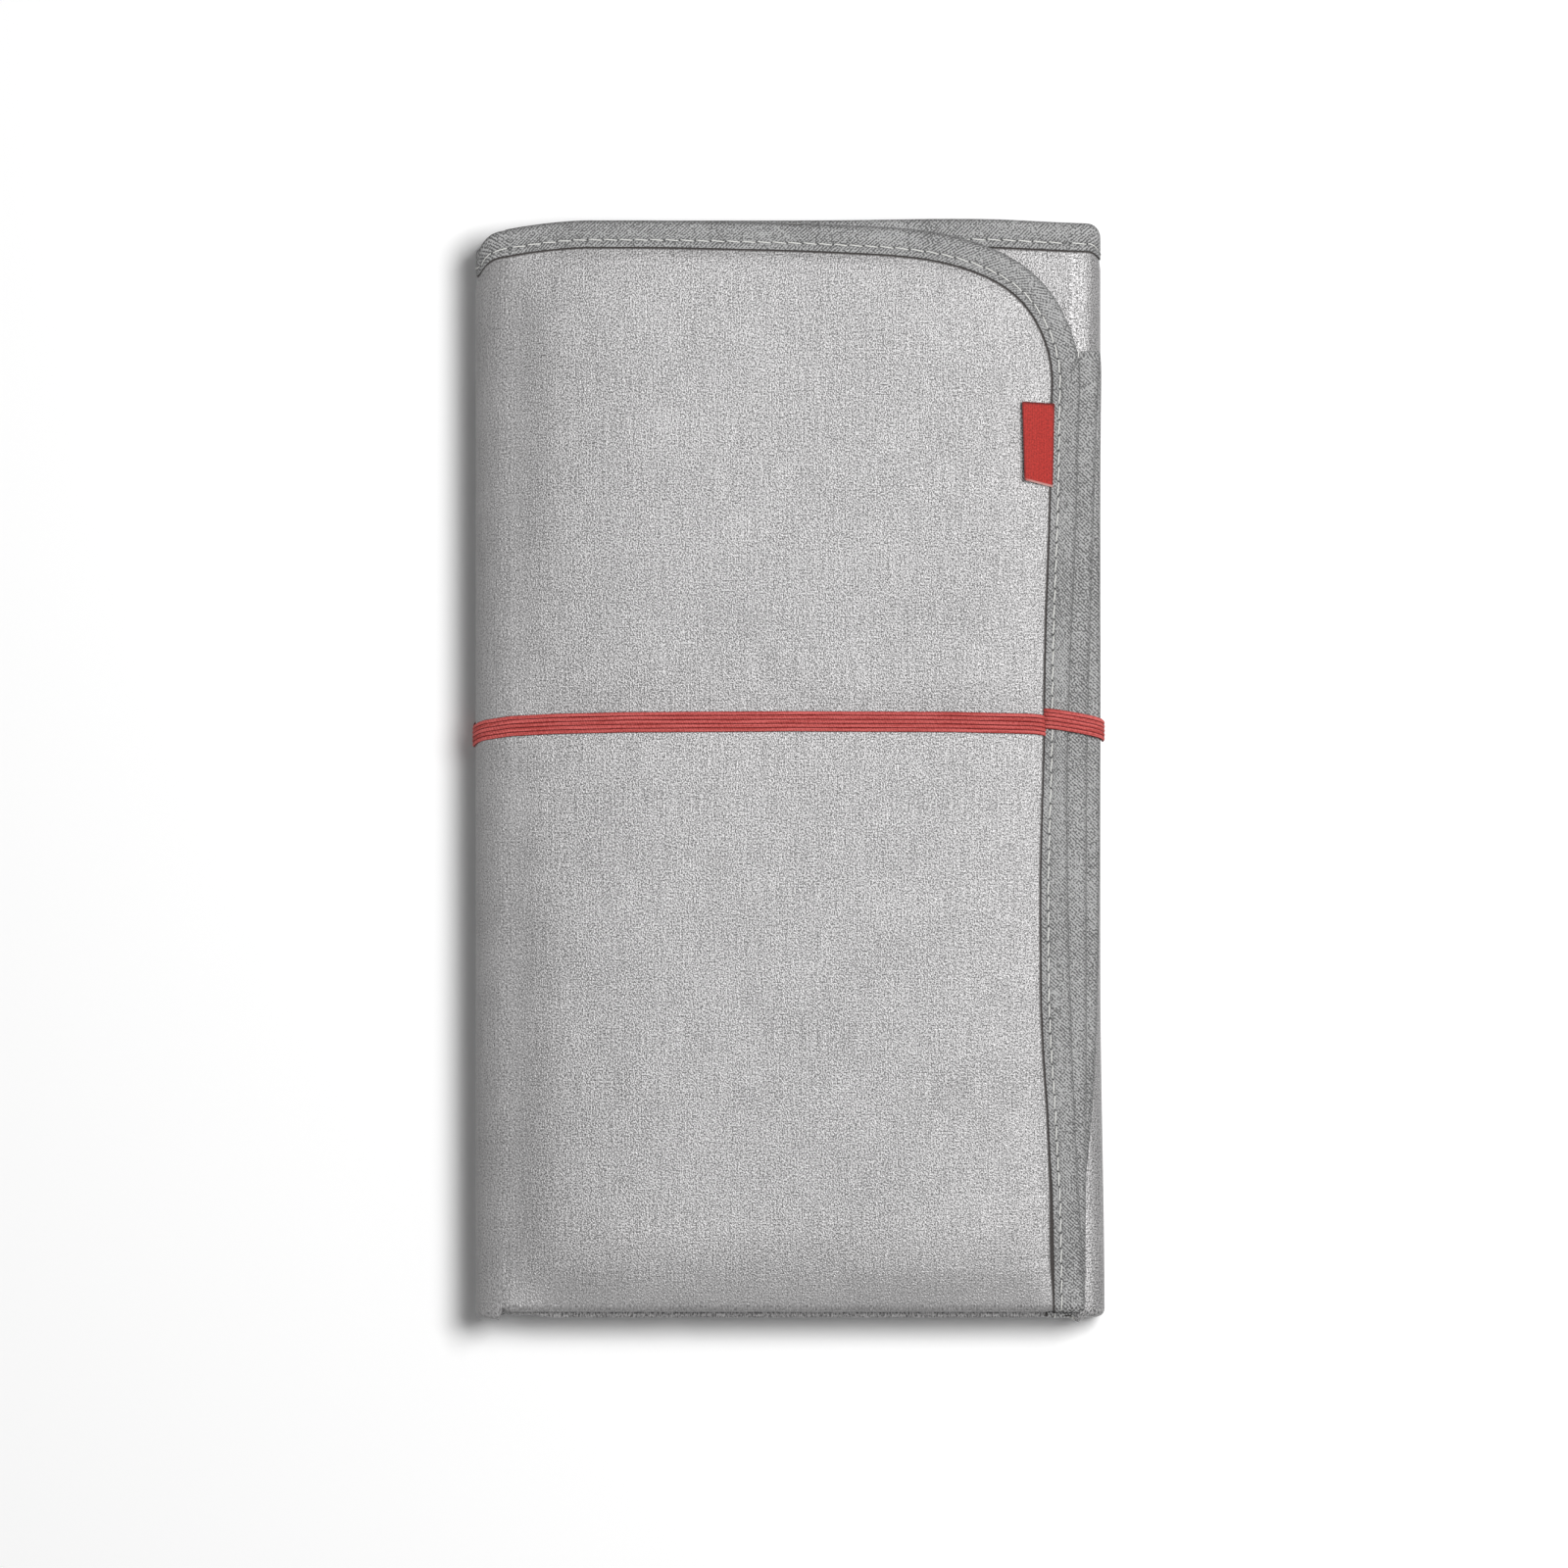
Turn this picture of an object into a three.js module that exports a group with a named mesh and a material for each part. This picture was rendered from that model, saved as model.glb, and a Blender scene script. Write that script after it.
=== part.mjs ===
// Tabletop ironing pad, folded into a packet and held by its elastic loop.
//
// The pad is a sewn blanket: face cloth, wadding and backing cloth, with a binding round the edge. Its long
// side is folded in four, like a W, into plies A, B, C and D, and that strip is folded like a fan into three
// panels: front, middle and back. Millimetres, +Z up, the lowest ply on z = 0, the packet's middle at the
// origin, the long side of the plies along Y. The front panel's bound side edge is at +X.

import * as THREE from 'three';
import { mergeVertices } from 'three/addons/utils/BufferGeometryUtils.js';

// The folded packet, over the elastic
const packet_width = 192.2;
const packet_height = 336;
const front_fold_rise = 0.6;
const front_edge_drop = 0.7;
const inner_fold_drop = 40;

// One ply of the blanket
const cloth_thickness = 0.3;
const wadding_thickness = 1.3;
const layer_gap = 0.05;
const ply_gap = 0.1;

// The binding, its seam and the cloth squeezed inside it
const binding_width = 8.6;
const binding_cloth = 0.3;
const binding_room = 1;
const squeeze_margin = 1;
const squeeze_length = 3;
const corner_radius = 48;
const stitch_inset = 6.3;
const thread_width = 0.5;
const thread_thickness = 0.2;

// How far the bound side edges of plies A to D wander inside the packet's side, from top to bottom
const edge_wander = 11;
const edge_shares = [
  [0.61, 0.73, 0.99, 0.87, 0.55],
  [0.05, 0.28, 0.47, 0.49, 0.55],
  [0.05, 0.12, 0.12, 0.25, 0.79],
  [0.75, 0.76, 0.76, 0.77, 0.79],
];

// The elastic loop
const elastic_width = 6.6;
const elastic_thickness = 0.8;
const elastic_clearance = 0.3;
const elastic_height = 13.4;
const elastic_seam_rise = 1.4;
const elastic_end_gap = 0.4;
const elastic_corner = 3;
const elastic_reach = 0.6;
const elastic_lean_shares = [0.5, 0.75, 0.9];

// The shallow groove that the elastic presses into the lowest ply
const rest_gap = 0.1;
const groove_clearance = 0.15;
const groove_side = 0.6;
const groove_slope = 2.4;
const groove_fade_start = THREE.MathUtils.degToRad(-90);
const groove_fade_end = THREE.MathUtils.degToRad(-15);

// The woven side label
const label_length = 25.4;
const label_reach = 9.6;
const label_tape = 0.3;
const label_fold_gap = 0.15;
const label_height = 99;
const label_seam_gap = 0.4;

// Room between a flat panel and the fold that carries on from it
const fold_gap = 0.3;

// Steps of the round shapes
const bend_steps = 6;
const corner_steps = 6;
const fold_steps = 8;
const elastic_steps = 6;
const label_steps = 4;
const weld_distance = 0.001;

// Sizes of one ply, full and squeezed inside the binding
const ply_half = wadding_thickness / 2 + layer_gap + cloth_thickness;
const ply_pitch = 2 * ply_half + ply_gap;
const lip_under = ply_half - binding_cloth;
const full_wadding = wadding_thickness / 2;
const squeezed_wadding = lip_under - 2 * layer_gap - cloth_thickness;
const squeeze_start = binding_width + squeeze_margin;
const squeeze_end = squeeze_start + squeeze_length;

// The lowest ply rises over the elastic, so ply D lies that much looser in every panel
const groove_depth = rest_gap + elastic_thickness + groove_clearance;
const loose_above_plies = [0, 6, 8];
function plyLevel(n) {
  const looser = loose_above_plies.filter((k) => n > k).length;
  return ply_half + n * ply_pitch + looser * groove_depth;
}

// The three panels, each with the number of its plies A to D counted up from the table, and the side of
// its bound side edge, if it has one
const panels = {
  front: { plies: [11, 10, 9, 8], free_side: 1 },
  middle: { plies: [4, 5, 6, 7], free_side: 0 },
  back: { plies: [3, 2, 1, 0], free_side: -1 },
};
const [front_a, front_b, front_c, front_d] = panels.front.plies;
const [middle_a, , , middle_d] = panels.middle.plies;
const [back_a] = panels.back.plies;
const half_width = packet_width / 2;
const half_height = packet_height / 2;
const face_top = plyLevel(front_a) + ply_half;
const left_fold_z = (plyLevel(middle_d) + plyLevel(front_d)) / 2;
const right_fold_z = (plyLevel(back_a) + plyLevel(middle_a)) / 2;
const fold_radius = plyLevel(middle_d) + ply_half - right_fold_z;
const side_x = half_width - elastic_thickness - elastic_clearance;
const fold_x = side_x - fold_radius;
const panel_end = fold_x - fold_gap;

// Ends of the plies along Y: plies A and D have bound top edges, the other ends are folds
const top_edges = [half_height - front_edge_drop, null, null, half_height];
const front_fold_y = -half_height + front_fold_rise + ply_half + ply_pitch / 2;
const rear_fold_y = -half_height + ply_half + (ply_pitch + groove_depth) / 2;
const inner_fold_y = half_height - inner_fold_drop - ply_half - ply_pitch / 2;

// Colours of the finishes
const finishes = {
  face: { color: 0xc4c2c3, roughness: 0.5, metalness: 0.45 },
  wadding: { color: 0xe6e2da, roughness: 1, metalness: 0 },
  backing: { color: 0xb9b8b4, roughness: 0.95, metalness: 0 },
  binding: { color: 0x929292, roughness: 0.9, metalness: 0 },
  thread: { color: 0xe8e8e4, roughness: 0.8, metalness: 0 },
  elastic: { color: 0xc0504a, roughness: 0.85, metalness: 0 },
  label: { color: 0xb83c34, roughness: 0.7, metalness: 0 },
};

const ironing_pad = new THREE.Group();

function addPiece(name, geometry, finish) {
  const mesh = new THREE.Mesh(geometry, new THREE.MeshStandardMaterial(finishes[finish]));
  mesh.name = name;
  ironing_pad.add(mesh);
  return mesh;
}

// Six times the volume inside a triangle list, negative when its faces point inwards
function signedVolume(points, triangles) {
  let sum = 0;
  for (const [a, b, c] of triangles) {
    const [p, q, r] = [points[a], points[b], points[c]].map((point) => new THREE.Vector3(...point));
    sum += p.dot(q.cross(r));
  }
  return sum;
}

// A closed body from points and triangles: equal points are joined, triangles that have no area go, and
// the faces point outwards
function closedBody(points, triangles) {
  const outward = signedVolume(points, triangles) > 0;
  const turned = outward ? triangles : triangles.map(([a, b, c]) => [a, c, b]);
  const geometry = new THREE.BufferGeometry();
  geometry.setAttribute('position', new THREE.Float32BufferAttribute(points.flat(), 3));
  geometry.setIndex(turned.flat());
  const welded = mergeVertices(geometry, weld_distance);
  const index = welded.getIndex().array;
  const kept = [];
  for (let i = 0; i < index.length; i += 3) {
    const [a, b, c] = [index[i], index[i + 1], index[i + 2]];
    if (a !== b && b !== c && c !== a) kept.push(a, b, c);
  }
  welded.setIndex(kept);
  welded.computeVertexNormals();
  return welded;
}

// A slab over a grid of places, each with its point under the slab and its point on top
function slab(rows) {
  const columns = rows[0].length;
  const points = rows.flat().flatMap((place) => [place.low, place.high]);
  const low = (i, j) => 2 * (i * columns + j);
  const high = (i, j) => low(i, j) + 1;
  const triangles = [];
  const quad = (a, b, c, d) => triangles.push([a, b, c], [a, c, d]);
  const last_row = rows.length - 1;
  const last = columns - 1;
  for (let i = 0; i < last_row; i++) {
    for (let j = 0; j < last; j++) {
      quad(high(i, j), high(i + 1, j), high(i + 1, j + 1), high(i, j + 1));
      quad(low(i, j), low(i, j + 1), low(i + 1, j + 1), low(i + 1, j));
    }
    quad(low(i, 0), low(i + 1, 0), high(i + 1, 0), high(i, 0));
    quad(low(i + 1, last), low(i, last), high(i, last), high(i + 1, last));
  }
  for (let j = 0; j < last; j++) {
    quad(low(0, j + 1), low(0, j), high(0, j), high(0, j + 1));
    quad(low(last_row, j), low(last_row, j + 1), high(last_row, j + 1), high(last_row, j));
  }
  return closedBody(points, triangles);
}

// A bar through rings of points that all follow one flat section, closed at both ends
function bar(rings, section) {
  const sides = section.length;
  const at = (i, k) => i * sides + (k % sides);
  const triangles = [];
  for (let i = 0; i < rings.length - 1; i++) {
    for (let k = 0; k < sides; k++) {
      triangles.push([at(i, k), at(i, k + 1), at(i + 1, k + 1)]);
      triangles.push([at(i, k), at(i + 1, k + 1), at(i + 1, k)]);
    }
  }
  const outline = section.map(([u, v]) => new THREE.Vector2(u, v));
  const clockwise = THREE.ShapeUtils.isClockWise(outline);
  const end = rings.length - 1;
  for (const corners of THREE.ShapeUtils.triangulateShape(outline, [])) {
    const same_way = THREE.ShapeUtils.isClockWise(corners.map((k) => outline[k])) === clockwise;
    const [a, b, c] = same_way ? corners : [...corners].reverse();
    triangles.push([at(0, c), at(0, b), at(0, a)], [at(end, a), at(end, b), at(end, c)]);
  }
  return closedBody(rings.flat(), triangles);
}

// A rectangle across a bar, from its two ranges
const rectangle = ([u0, u1], [v0, v1]) => [[u0, v0], [u1, v0], [u1, v1], [u0, v1]];

// The folded tape of the binding in section: distance from the edge, height over the middle of the ply
const channel = [
  [binding_width, ply_half],
  [0, ply_half],
  [0, -ply_half],
  [binding_width, -ply_half],
  [binding_width, -lip_under],
  [binding_cloth, -lip_under],
  [binding_cloth, lip_under],
  [binding_width, lip_under],
];

// The three layers of the blanket: each gives its underside and top over the middle of the ply, from 0
// squeezed inside the binding to 1 at full thickness. The face is the upper one.
const layers = {
  face_cloth: {
    finish: 'face',
    reach: (half) => [half + layer_gap, half + layer_gap + cloth_thickness],
  },
  wadding: {
    finish: 'wadding',
    reach: (half) => [-half, half],
  },
  backing_cloth: {
    finish: 'backing',
    reach: (half) => [-half - layer_gap - cloth_thickness, -half - layer_gap],
  },
};

// Underside and top of a layer at a distance from the nearest bound edge
function layerReach(layer, distance) {
  const fullness = THREE.MathUtils.smoothstep(distance, squeeze_start, squeeze_end);
  return layer.reach(THREE.MathUtils.lerp(squeezed_wadding, full_wadding, fullness));
}

// How far the lowest ply rises over the elastic at height y on the packet
const groove_flat = elastic_width / 2 + groove_side;
const groove_rows = [-groove_flat - groove_slope, -groove_flat, groove_flat, groove_flat + groove_slope];
function grooveRise(y) {
  const away = Math.abs(y - elastic_height);
  return groove_depth * THREE.MathUtils.clamp((groove_flat + groove_slope - away) / groove_slope, 0, 1);
}

// Where the bound side edge of a ply lies at height y, as a smooth curve through its shares
const edge_curves = edge_shares.map((shares) => {
  const points = shares.map((share) => new THREE.Vector2(0, share));
  return new THREE.SplineCurve(points);
});
function edgeX(ply, y) {
  const down = THREE.MathUtils.clamp((half_height - y) / packet_height, 0, 1);
  return half_width - edge_wander * edge_curves[ply].getPoint(down).y;
}

// Distances below a bound top edge at which the sheet has a row of points
function rowRuns(free_side) {
  const runs = [binding_room, squeeze_start, squeeze_end];
  if (free_side !== 0) {
    for (let k = 1; k <= corner_steps; k++) {
      runs.push(corner_radius * (1 - Math.cos((Math.PI / 2) * (k / corner_steps))));
    }
    runs.push((corner_radius + half_height) / 2, half_height, (half_height + packet_height) / 2);
  }
  return runs.sort((a, b) => a - b);
}

// The direction of ply number i's face: plies A and C face one way, B and D the other
function faceOf(panel, i) {
  const first_faces_up = panel.plies[0] > panel.plies[3];
  return first_faces_up === (i % 2 === 0) ? 1 : -1;
}

// The way of the sheet through one panel, from the top edge of ply A to the top edge of ply D. Each
// station has a point, the direction of the face there, the run below the bound edge and the side edge.
function foldedWay(panel) {
  const stations = [];
  const level = panel.plies.map(plyLevel);
  const runs = rowRuns(panel.free_side);

  const straight = (ply, heights) => {
    for (const y of heights) {
      const rise = panel.plies[ply] === 0 ? grooveRise(y) : 0;
      const run = top_edges[ply] === null ? Infinity : top_edges[ply] - y;
      const z = level[ply] + rise;
      stations.push({ ply, y, z, ny: 0, nz: faceOf(panel, ply), run, edge: edgeX(ply, y) });
    }
  };
  const bend = (ply, middle_y, outward, face_outside) => {
    const middle_z = (level[ply] + level[ply + 1]) / 2;
    const radius = (level[ply] - level[ply + 1]) / 2;
    for (let k = 1; k < bend_steps; k++) {
      const angle = (Math.PI * k) / bend_steps;
      const y = middle_y + outward * Math.abs(radius) * Math.sin(angle);
      const z = middle_z + radius * Math.cos(angle);
      const ny = face_outside * outward * Math.sin(angle);
      const nz = face_outside * Math.sign(radius) * Math.cos(angle);
      const edge = THREE.MathUtils.lerp(edgeX(ply, y), edgeX(ply + 1, y), k / bend_steps);
      stations.push({ ply, y, z, ny, nz, run: Infinity, edge });
    }
  };

  const below = (top, lowest) => runs.map((run) => top - run).filter((y) => y > lowest);
  const lowest_ply_rows = panel.plies[3] === 0 ? groove_rows.map((row) => elastic_height + row) : [];
  straight(0, [...below(top_edges[0], front_fold_y), front_fold_y]);
  bend(0, front_fold_y, -1, 1);
  straight(1, [front_fold_y, 0, inner_fold_y]);
  bend(1, inner_fold_y, 1, -1);
  straight(2, [inner_fold_y, 0, rear_fold_y]);
  bend(2, rear_fold_y, -1, 1);
  const last_rows = [rear_fold_y, ...lowest_ply_rows, ...below(top_edges[3], rear_fold_y)];
  straight(3, last_rows.sort((a, b) => a - b));
  return stations;
}

// The point at x and at height w over the middle of the ply, at one station
const stationPoint = (station, x, w) => [x, station.y + station.ny * w, station.z + station.nz * w];

// Where the line at one distance inside the bound edge crosses a station's row, round the corner too
function lineX(station, distance) {
  if (station.run >= corner_radius) return station.edge - distance;
  const centre = station.edge - corner_radius;
  if (station.run <= distance) return centre;
  return centre + Math.sqrt((corner_radius - distance) ** 2 - (corner_radius - station.run) ** 2);
}

// One layer of the blanket through a whole panel
function panelLayer(panel, layer) {
  const side = panel.free_side;
  const place = (station, x, distance) => {
    const [low, high] = layerReach(layer, Math.min(distance, station.run));
    return { low: stationPoint(station, x, low), high: stationPoint(station, x, high) };
  };
  const rows = foldedWay(panel).map((station) => {
    if (side === 0) return [place(station, -panel_end, Infinity), place(station, panel_end, Infinity)];
    const distances = [squeeze_end, squeeze_start, binding_room];
    const lines = distances.map((distance) => place(station, side * lineX(station, distance), distance));
    return [place(station, -side * panel_end, Infinity), ...lines];
  });
  return slab(rows);
}

// The point on flat ply A or D at x, a run below its top edge, and at height w over its middle
function plyPoint(panel, ply, x, run, w) {
  const y = top_edges[ply] - run;
  const rise = panel.plies[ply] === 0 ? grooveRise(y) : 0;
  return [x, y, plyLevel(panel.plies[ply]) + rise + faceOf(panel, ply) * w];
}

// A section carried along the bound edge of ply A or D: its top edge from the fold, then round the corner
function topEdgeRings(panel, ply, section) {
  const side = panel.free_side;
  const rings = [section.map(([d, w]) => plyPoint(panel, ply, -side * panel_end, d, w))];
  for (let k = 0; k <= corner_steps; k++) {
    const angle = (Math.PI / 2) * (k / corner_steps);
    rings.push(section.map(([d, w]) => {
      const run = corner_radius - (corner_radius - d) * Math.cos(angle);
      const edge = edgeX(ply, top_edges[ply] - run);
      const x = edge - corner_radius + (corner_radius - d) * Math.sin(angle);
      return plyPoint(panel, ply, side * x, run, w);
    }));
  }
  return rings;
}

// A section carried along the bound side edge, through the stations below the round corners that it keeps
function sideEdgeRings(panel, section, keeps) {
  const below_corners = foldedWay(panel).filter((station) => station.run > corner_radius + layer_gap);
  const stations = below_corners.filter(keeps);
  return stations.map((station) => section.map(([d, w]) => (
    stationPoint(station, panel.free_side * (station.edge - d), w)
  )));
}

// The binding of a panel with a bound side: one tape round both its corners and all its folds
function sideBinding(panel) {
  const first = topEdgeRings(panel, 0, channel);
  const last = topEdgeRings(panel, 3, channel).reverse();
  return bar([...first, ...sideEdgeRings(panel, channel, () => true), ...last], channel);
}

// The binding along the top edge of a panel that has a fold at either side
function topBinding(panel, ply) {
  const ends = [-panel_end, panel_end];
  return bar(ends.map((x) => channel.map(([d, w]) => plyPoint(panel, ply, x, d, w))), channel);
}

// The row of stitches that shows on ply A, as one raised thread
function frontStitching(panel) {
  const half = thread_width / 2;
  const low = ply_half + layer_gap;
  const section = rectangle([stitch_inset - half, stitch_inset + half], [low, low + thread_thickness]);
  const on_front = sideEdgeRings(panel, section, (station) => station.ply === 0 && station.ny === 0);
  return bar([...topEdgeRings(panel, 0, section), ...on_front], section);
}

// The panel folds: each ply goes round half a turn between two panels, at the left or the right side
const folds = {
  left_fold: { side: -1, z: left_fold_z, upper: panels.front.plies },
  right_fold: { side: 1, z: right_fold_z, upper: panels.middle.plies },
};
const ply_names = ['ply_a', 'ply_b', 'ply_c', 'ply_d'];

// How much of the groove is left at an angle of the right fold
function grooveFade(angle) {
  return 1 - THREE.MathUtils.smoothstep(angle, groove_fade_start, groove_fade_end);
}

// The point of a fold at an angle, at height y, with w counted outwards from the middle of the ply
function foldPoint(fold, ply, angle, y, w) {
  const meets_table = fold.side === 1 && ply === 3;
  const rise = meets_table ? grooveRise(y) * grooveFade(angle) : 0;
  const radius = plyLevel(fold.upper[ply]) - fold.z - rise + w;
  return [fold.side * (fold_x + radius * Math.cos(angle)), y, fold.z + radius * Math.sin(angle)];
}

// Angles from the lower panel, round the outside, to the upper one
function foldAngles() {
  const angles = [];
  for (let k = 0; k <= fold_steps; k++) angles.push(Math.PI * (k / fold_steps - 1 / 2));
  return angles;
}

// One layer of one ply round a fold. The outermost ply has its face outside, the next one inside.
function foldLayer(fold, ply, layer) {
  const top = top_edges[ply];
  const lowest = ply < 2 ? -half_height + front_fold_rise : -half_height;
  const outermost = fold.side === 1 ? 3 : 0;
  const face = (ply - outermost) % 2 === 0 ? 1 : -1;
  const runs = top === null ? [] : [squeeze_end, squeeze_start, binding_room];
  const heights = top === null ? [lowest, inner_fold_y] : [lowest, ...runs.map((run) => top - run)];
  const grooved = fold.side === 1 && ply === 3;
  if (grooved) heights.push(...groove_rows.map((row) => elastic_height + row));
  const rows = heights.sort((a, b) => a - b).map((y) => foldAngles().map((angle) => {
    const [low, high] = layerReach(layer, top === null ? Infinity : top - y);
    const pointAt = (w) => foldPoint(fold, ply, angle, y, face * w);
    return { low: pointAt(low), high: pointAt(high) };
  }));
  return slab(rows);
}

// The binding of ply A or D round a fold
function foldBinding(fold, ply) {
  const rings = foldAngles().map((angle) => (
    channel.map(([d, w]) => foldPoint(fold, ply, angle, top_edges[ply] - d, w))
  ));
  return bar(rings, channel);
}

// The elastic loop's way round the packet, as points of its inner side with their outward directions, and
// which of them lie over the edges of the front panel
function elasticWay() {
  const way = [];
  const add = (x, z, angle, over_edges = false) => {
    way.push({ x, z, nx: Math.cos(angle), nz: Math.sin(angle), over_edges });
  };
  const turn = (x, z, from, to, radiusAt) => {
    for (let k = 0; k <= elastic_steps; k++) {
      const angle = THREE.MathUtils.lerp(from, to, k / elastic_steps);
      add(x + radiusAt(angle) * Math.cos(angle), z + radiusAt(angle) * Math.sin(angle), angle);
    }
  };
  const quarter = Math.PI / 2;
  const seam_x = edgeX(0, elastic_height) - binding_width;
  const over = ply_half + elastic_clearance;
  const outside = fold_radius + elastic_clearance;
  const corner_x = -side_x - elastic_clearance + elastic_corner;
  const corner_z = rest_gap + elastic_thickness + elastic_corner;
  add(seam_x - elastic_end_gap, face_top + elastic_clearance, quarter);
  turn(-fold_x, left_fold_z, quarter, 2 * quarter, () => outside);
  turn(corner_x, corner_z, 2 * quarter, 3 * quarter, () => elastic_corner);
  turn(fold_x, right_fold_z, -quarter, 0, (angle) => {
    const sunk = fold_radius - groove_depth + groove_clearance;
    return THREE.MathUtils.lerp(outside, sunk, grooveFade(angle));
  });
  const third_x = side_x + elastic_clearance;
  const second_x = edgeX(1, elastic_height) + elastic_reach;
  const first_x = edgeX(0, elastic_height) + elastic_reach;
  const [third_lean, second_lean, first_lean] = elastic_lean_shares.map((share) => share * quarter);
  add(third_x, plyLevel(front_c), 0);
  add(third_x, plyLevel(front_c) + over, third_lean, true);
  add(second_x, plyLevel(front_b) + over, second_lean, true);
  add(first_x, plyLevel(front_a) + over, first_lean, true);
  add(seam_x + elastic_end_gap, face_top + elastic_clearance, quarter, true);
  return way;
}

// The elastic loop: one flat band whose two ends meet at the binding's seam, the right one a little higher
function elasticLoop() {
  const section = rectangle([0, elastic_thickness], [-elastic_width / 2, elastic_width / 2]);
  const way = elasticWay();
  const seam_x = way[0].x;
  const rings = way.map((point) => {
    const inwards = point.over_edges ? side_x - point.x : 0;
    const share = THREE.MathUtils.smoothstep(inwards, 0, side_x - seam_x);
    const middle = elastic_height + elastic_seam_rise * share;
    return section.map(([out, across]) => (
      [point.x + point.nx * out, middle + across, point.z + point.nz * out]
    ));
  });
  return bar(rings, section);
}

// The side label: one tape folded at its left end, with both its raw ends at the binding's seam
function sideLabel() {
  const thickness = 2 * label_tape + label_fold_gap;
  const outer = thickness / 2;
  const inner = label_fold_gap / 2;
  const fold_at = -label_reach + outer;
  const tape = new THREE.Shape();
  tape.moveTo(0, -outer);
  tape.lineTo(fold_at, -outer);
  tape.absarc(fold_at, 0, outer, -Math.PI / 2, Math.PI / 2, true);
  tape.lineTo(0, outer);
  tape.lineTo(0, inner);
  tape.lineTo(fold_at, inner);
  tape.lineTo(fold_at, -inner);
  tape.lineTo(0, -inner);
  tape.closePath();
  const settings = { depth: label_length, bevelEnabled: false, curveSegments: label_steps };
  const geometry = new THREE.ExtrudeGeometry(tape, settings);
  geometry.rotateX(Math.PI / 2);
  geometry.translate(0, label_length / 2, 0);
  return geometry;
}

// The panels' layers and bindings
for (const [panel_name, panel] of Object.entries(panels)) {
  for (const [layer_name, layer] of Object.entries(layers)) {
    addPiece(`${panel_name}_${layer_name}`, panelLayer(panel, layer), layer.finish);
  }
}
addPiece('front_side_binding', sideBinding(panels.front), 'binding');
addPiece('front_stitching', frontStitching(panels.front), 'thread');
addPiece('middle_top_binding_a', topBinding(panels.middle, 0), 'binding');
addPiece('middle_top_binding_d', topBinding(panels.middle, 3), 'binding');
addPiece('back_side_binding', sideBinding(panels.back), 'binding');

// The folds between the panels
for (const [fold_name, fold] of Object.entries(folds)) {
  for (let ply = 0; ply < ply_names.length; ply++) {
    for (const [layer_name, layer] of Object.entries(layers)) {
      addPiece(`${fold_name}_${ply_names[ply]}_${layer_name}`, foldLayer(fold, ply, layer), layer.finish);
    }
    if (top_edges[ply] !== null) {
      addPiece(`${fold_name}_${ply_names[ply]}_binding`, foldBinding(fold, ply), 'binding');
    }
  }
}

// The loop and the label, both sewn into the front panel's binding seam
addPiece('elastic_loop', elasticLoop(), 'elastic');
const label = addPiece('side_label', sideLabel(), 'label');
const label_top_x = edgeX(0, label_height + label_length / 2) - binding_width;
const label_foot_x = edgeX(0, label_height - label_length / 2) - binding_width;
label.rotation.z = Math.atan2(label_foot_x - label_top_x, label_length);
label.position.set(
  (label_top_x + label_foot_x) / 2 - label_seam_gap,
  label_height,
  face_top + layer_gap + label_tape + label_fold_gap / 2,
);

export default ironing_pad;
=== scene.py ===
"""The looks of a tabletop ironing pad, folded into a packet and held by its elastic loop.

The pad is one sewn sheet: face cloth, wadding and backing cloth, bound all round. Its long side is folded in
four like a W, into plies A to D, and that strip is folded like a fan into a front, a middle and a back panel.
Every piece is worked out on the flat sheet, by x and by the run t from ply A's top edge, carried onto the
folded way of the sheet, and then settled as the soft packet lies on a table. Lengths here are millimetres
until a mesh is made.
"""

import bpy
import numpy as np
from bpy.props import FloatProperty, FloatVectorProperty, IntProperty, PointerProperty
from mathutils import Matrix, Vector


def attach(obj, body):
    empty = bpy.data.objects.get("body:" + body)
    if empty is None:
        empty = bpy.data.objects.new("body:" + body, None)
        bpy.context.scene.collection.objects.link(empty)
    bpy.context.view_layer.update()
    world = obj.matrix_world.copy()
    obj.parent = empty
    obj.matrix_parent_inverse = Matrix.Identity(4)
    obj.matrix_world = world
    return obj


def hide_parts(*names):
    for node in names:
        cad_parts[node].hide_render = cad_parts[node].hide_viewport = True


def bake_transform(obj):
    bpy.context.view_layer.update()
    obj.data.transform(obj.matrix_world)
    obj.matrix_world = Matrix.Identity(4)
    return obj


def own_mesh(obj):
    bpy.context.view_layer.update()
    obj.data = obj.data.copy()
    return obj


bl_info = {
    "name": "Folded ironing pad",
    "version": (1, 0, 0),
    "blender": (4, 5, 0),
    "location": "3D View > Sidebar > Ironing pad",
    "description": "Makes the cloths, binding, stitches, elastic loop and label of a folded ironing pad",
    "category": "Object",
}

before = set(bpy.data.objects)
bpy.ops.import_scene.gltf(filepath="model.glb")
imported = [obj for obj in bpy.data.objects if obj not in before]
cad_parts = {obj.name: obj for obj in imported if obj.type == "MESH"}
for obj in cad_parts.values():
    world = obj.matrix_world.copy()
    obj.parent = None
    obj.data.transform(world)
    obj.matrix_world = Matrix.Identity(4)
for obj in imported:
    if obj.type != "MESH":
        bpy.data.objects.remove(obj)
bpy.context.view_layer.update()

# The folded packet, as the frame has it
HALF_WIDTH = 96.1
HALF_HEIGHT = 168.0
PLY_HALF = 1.0
PLY_PITCH = 2.1
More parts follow.
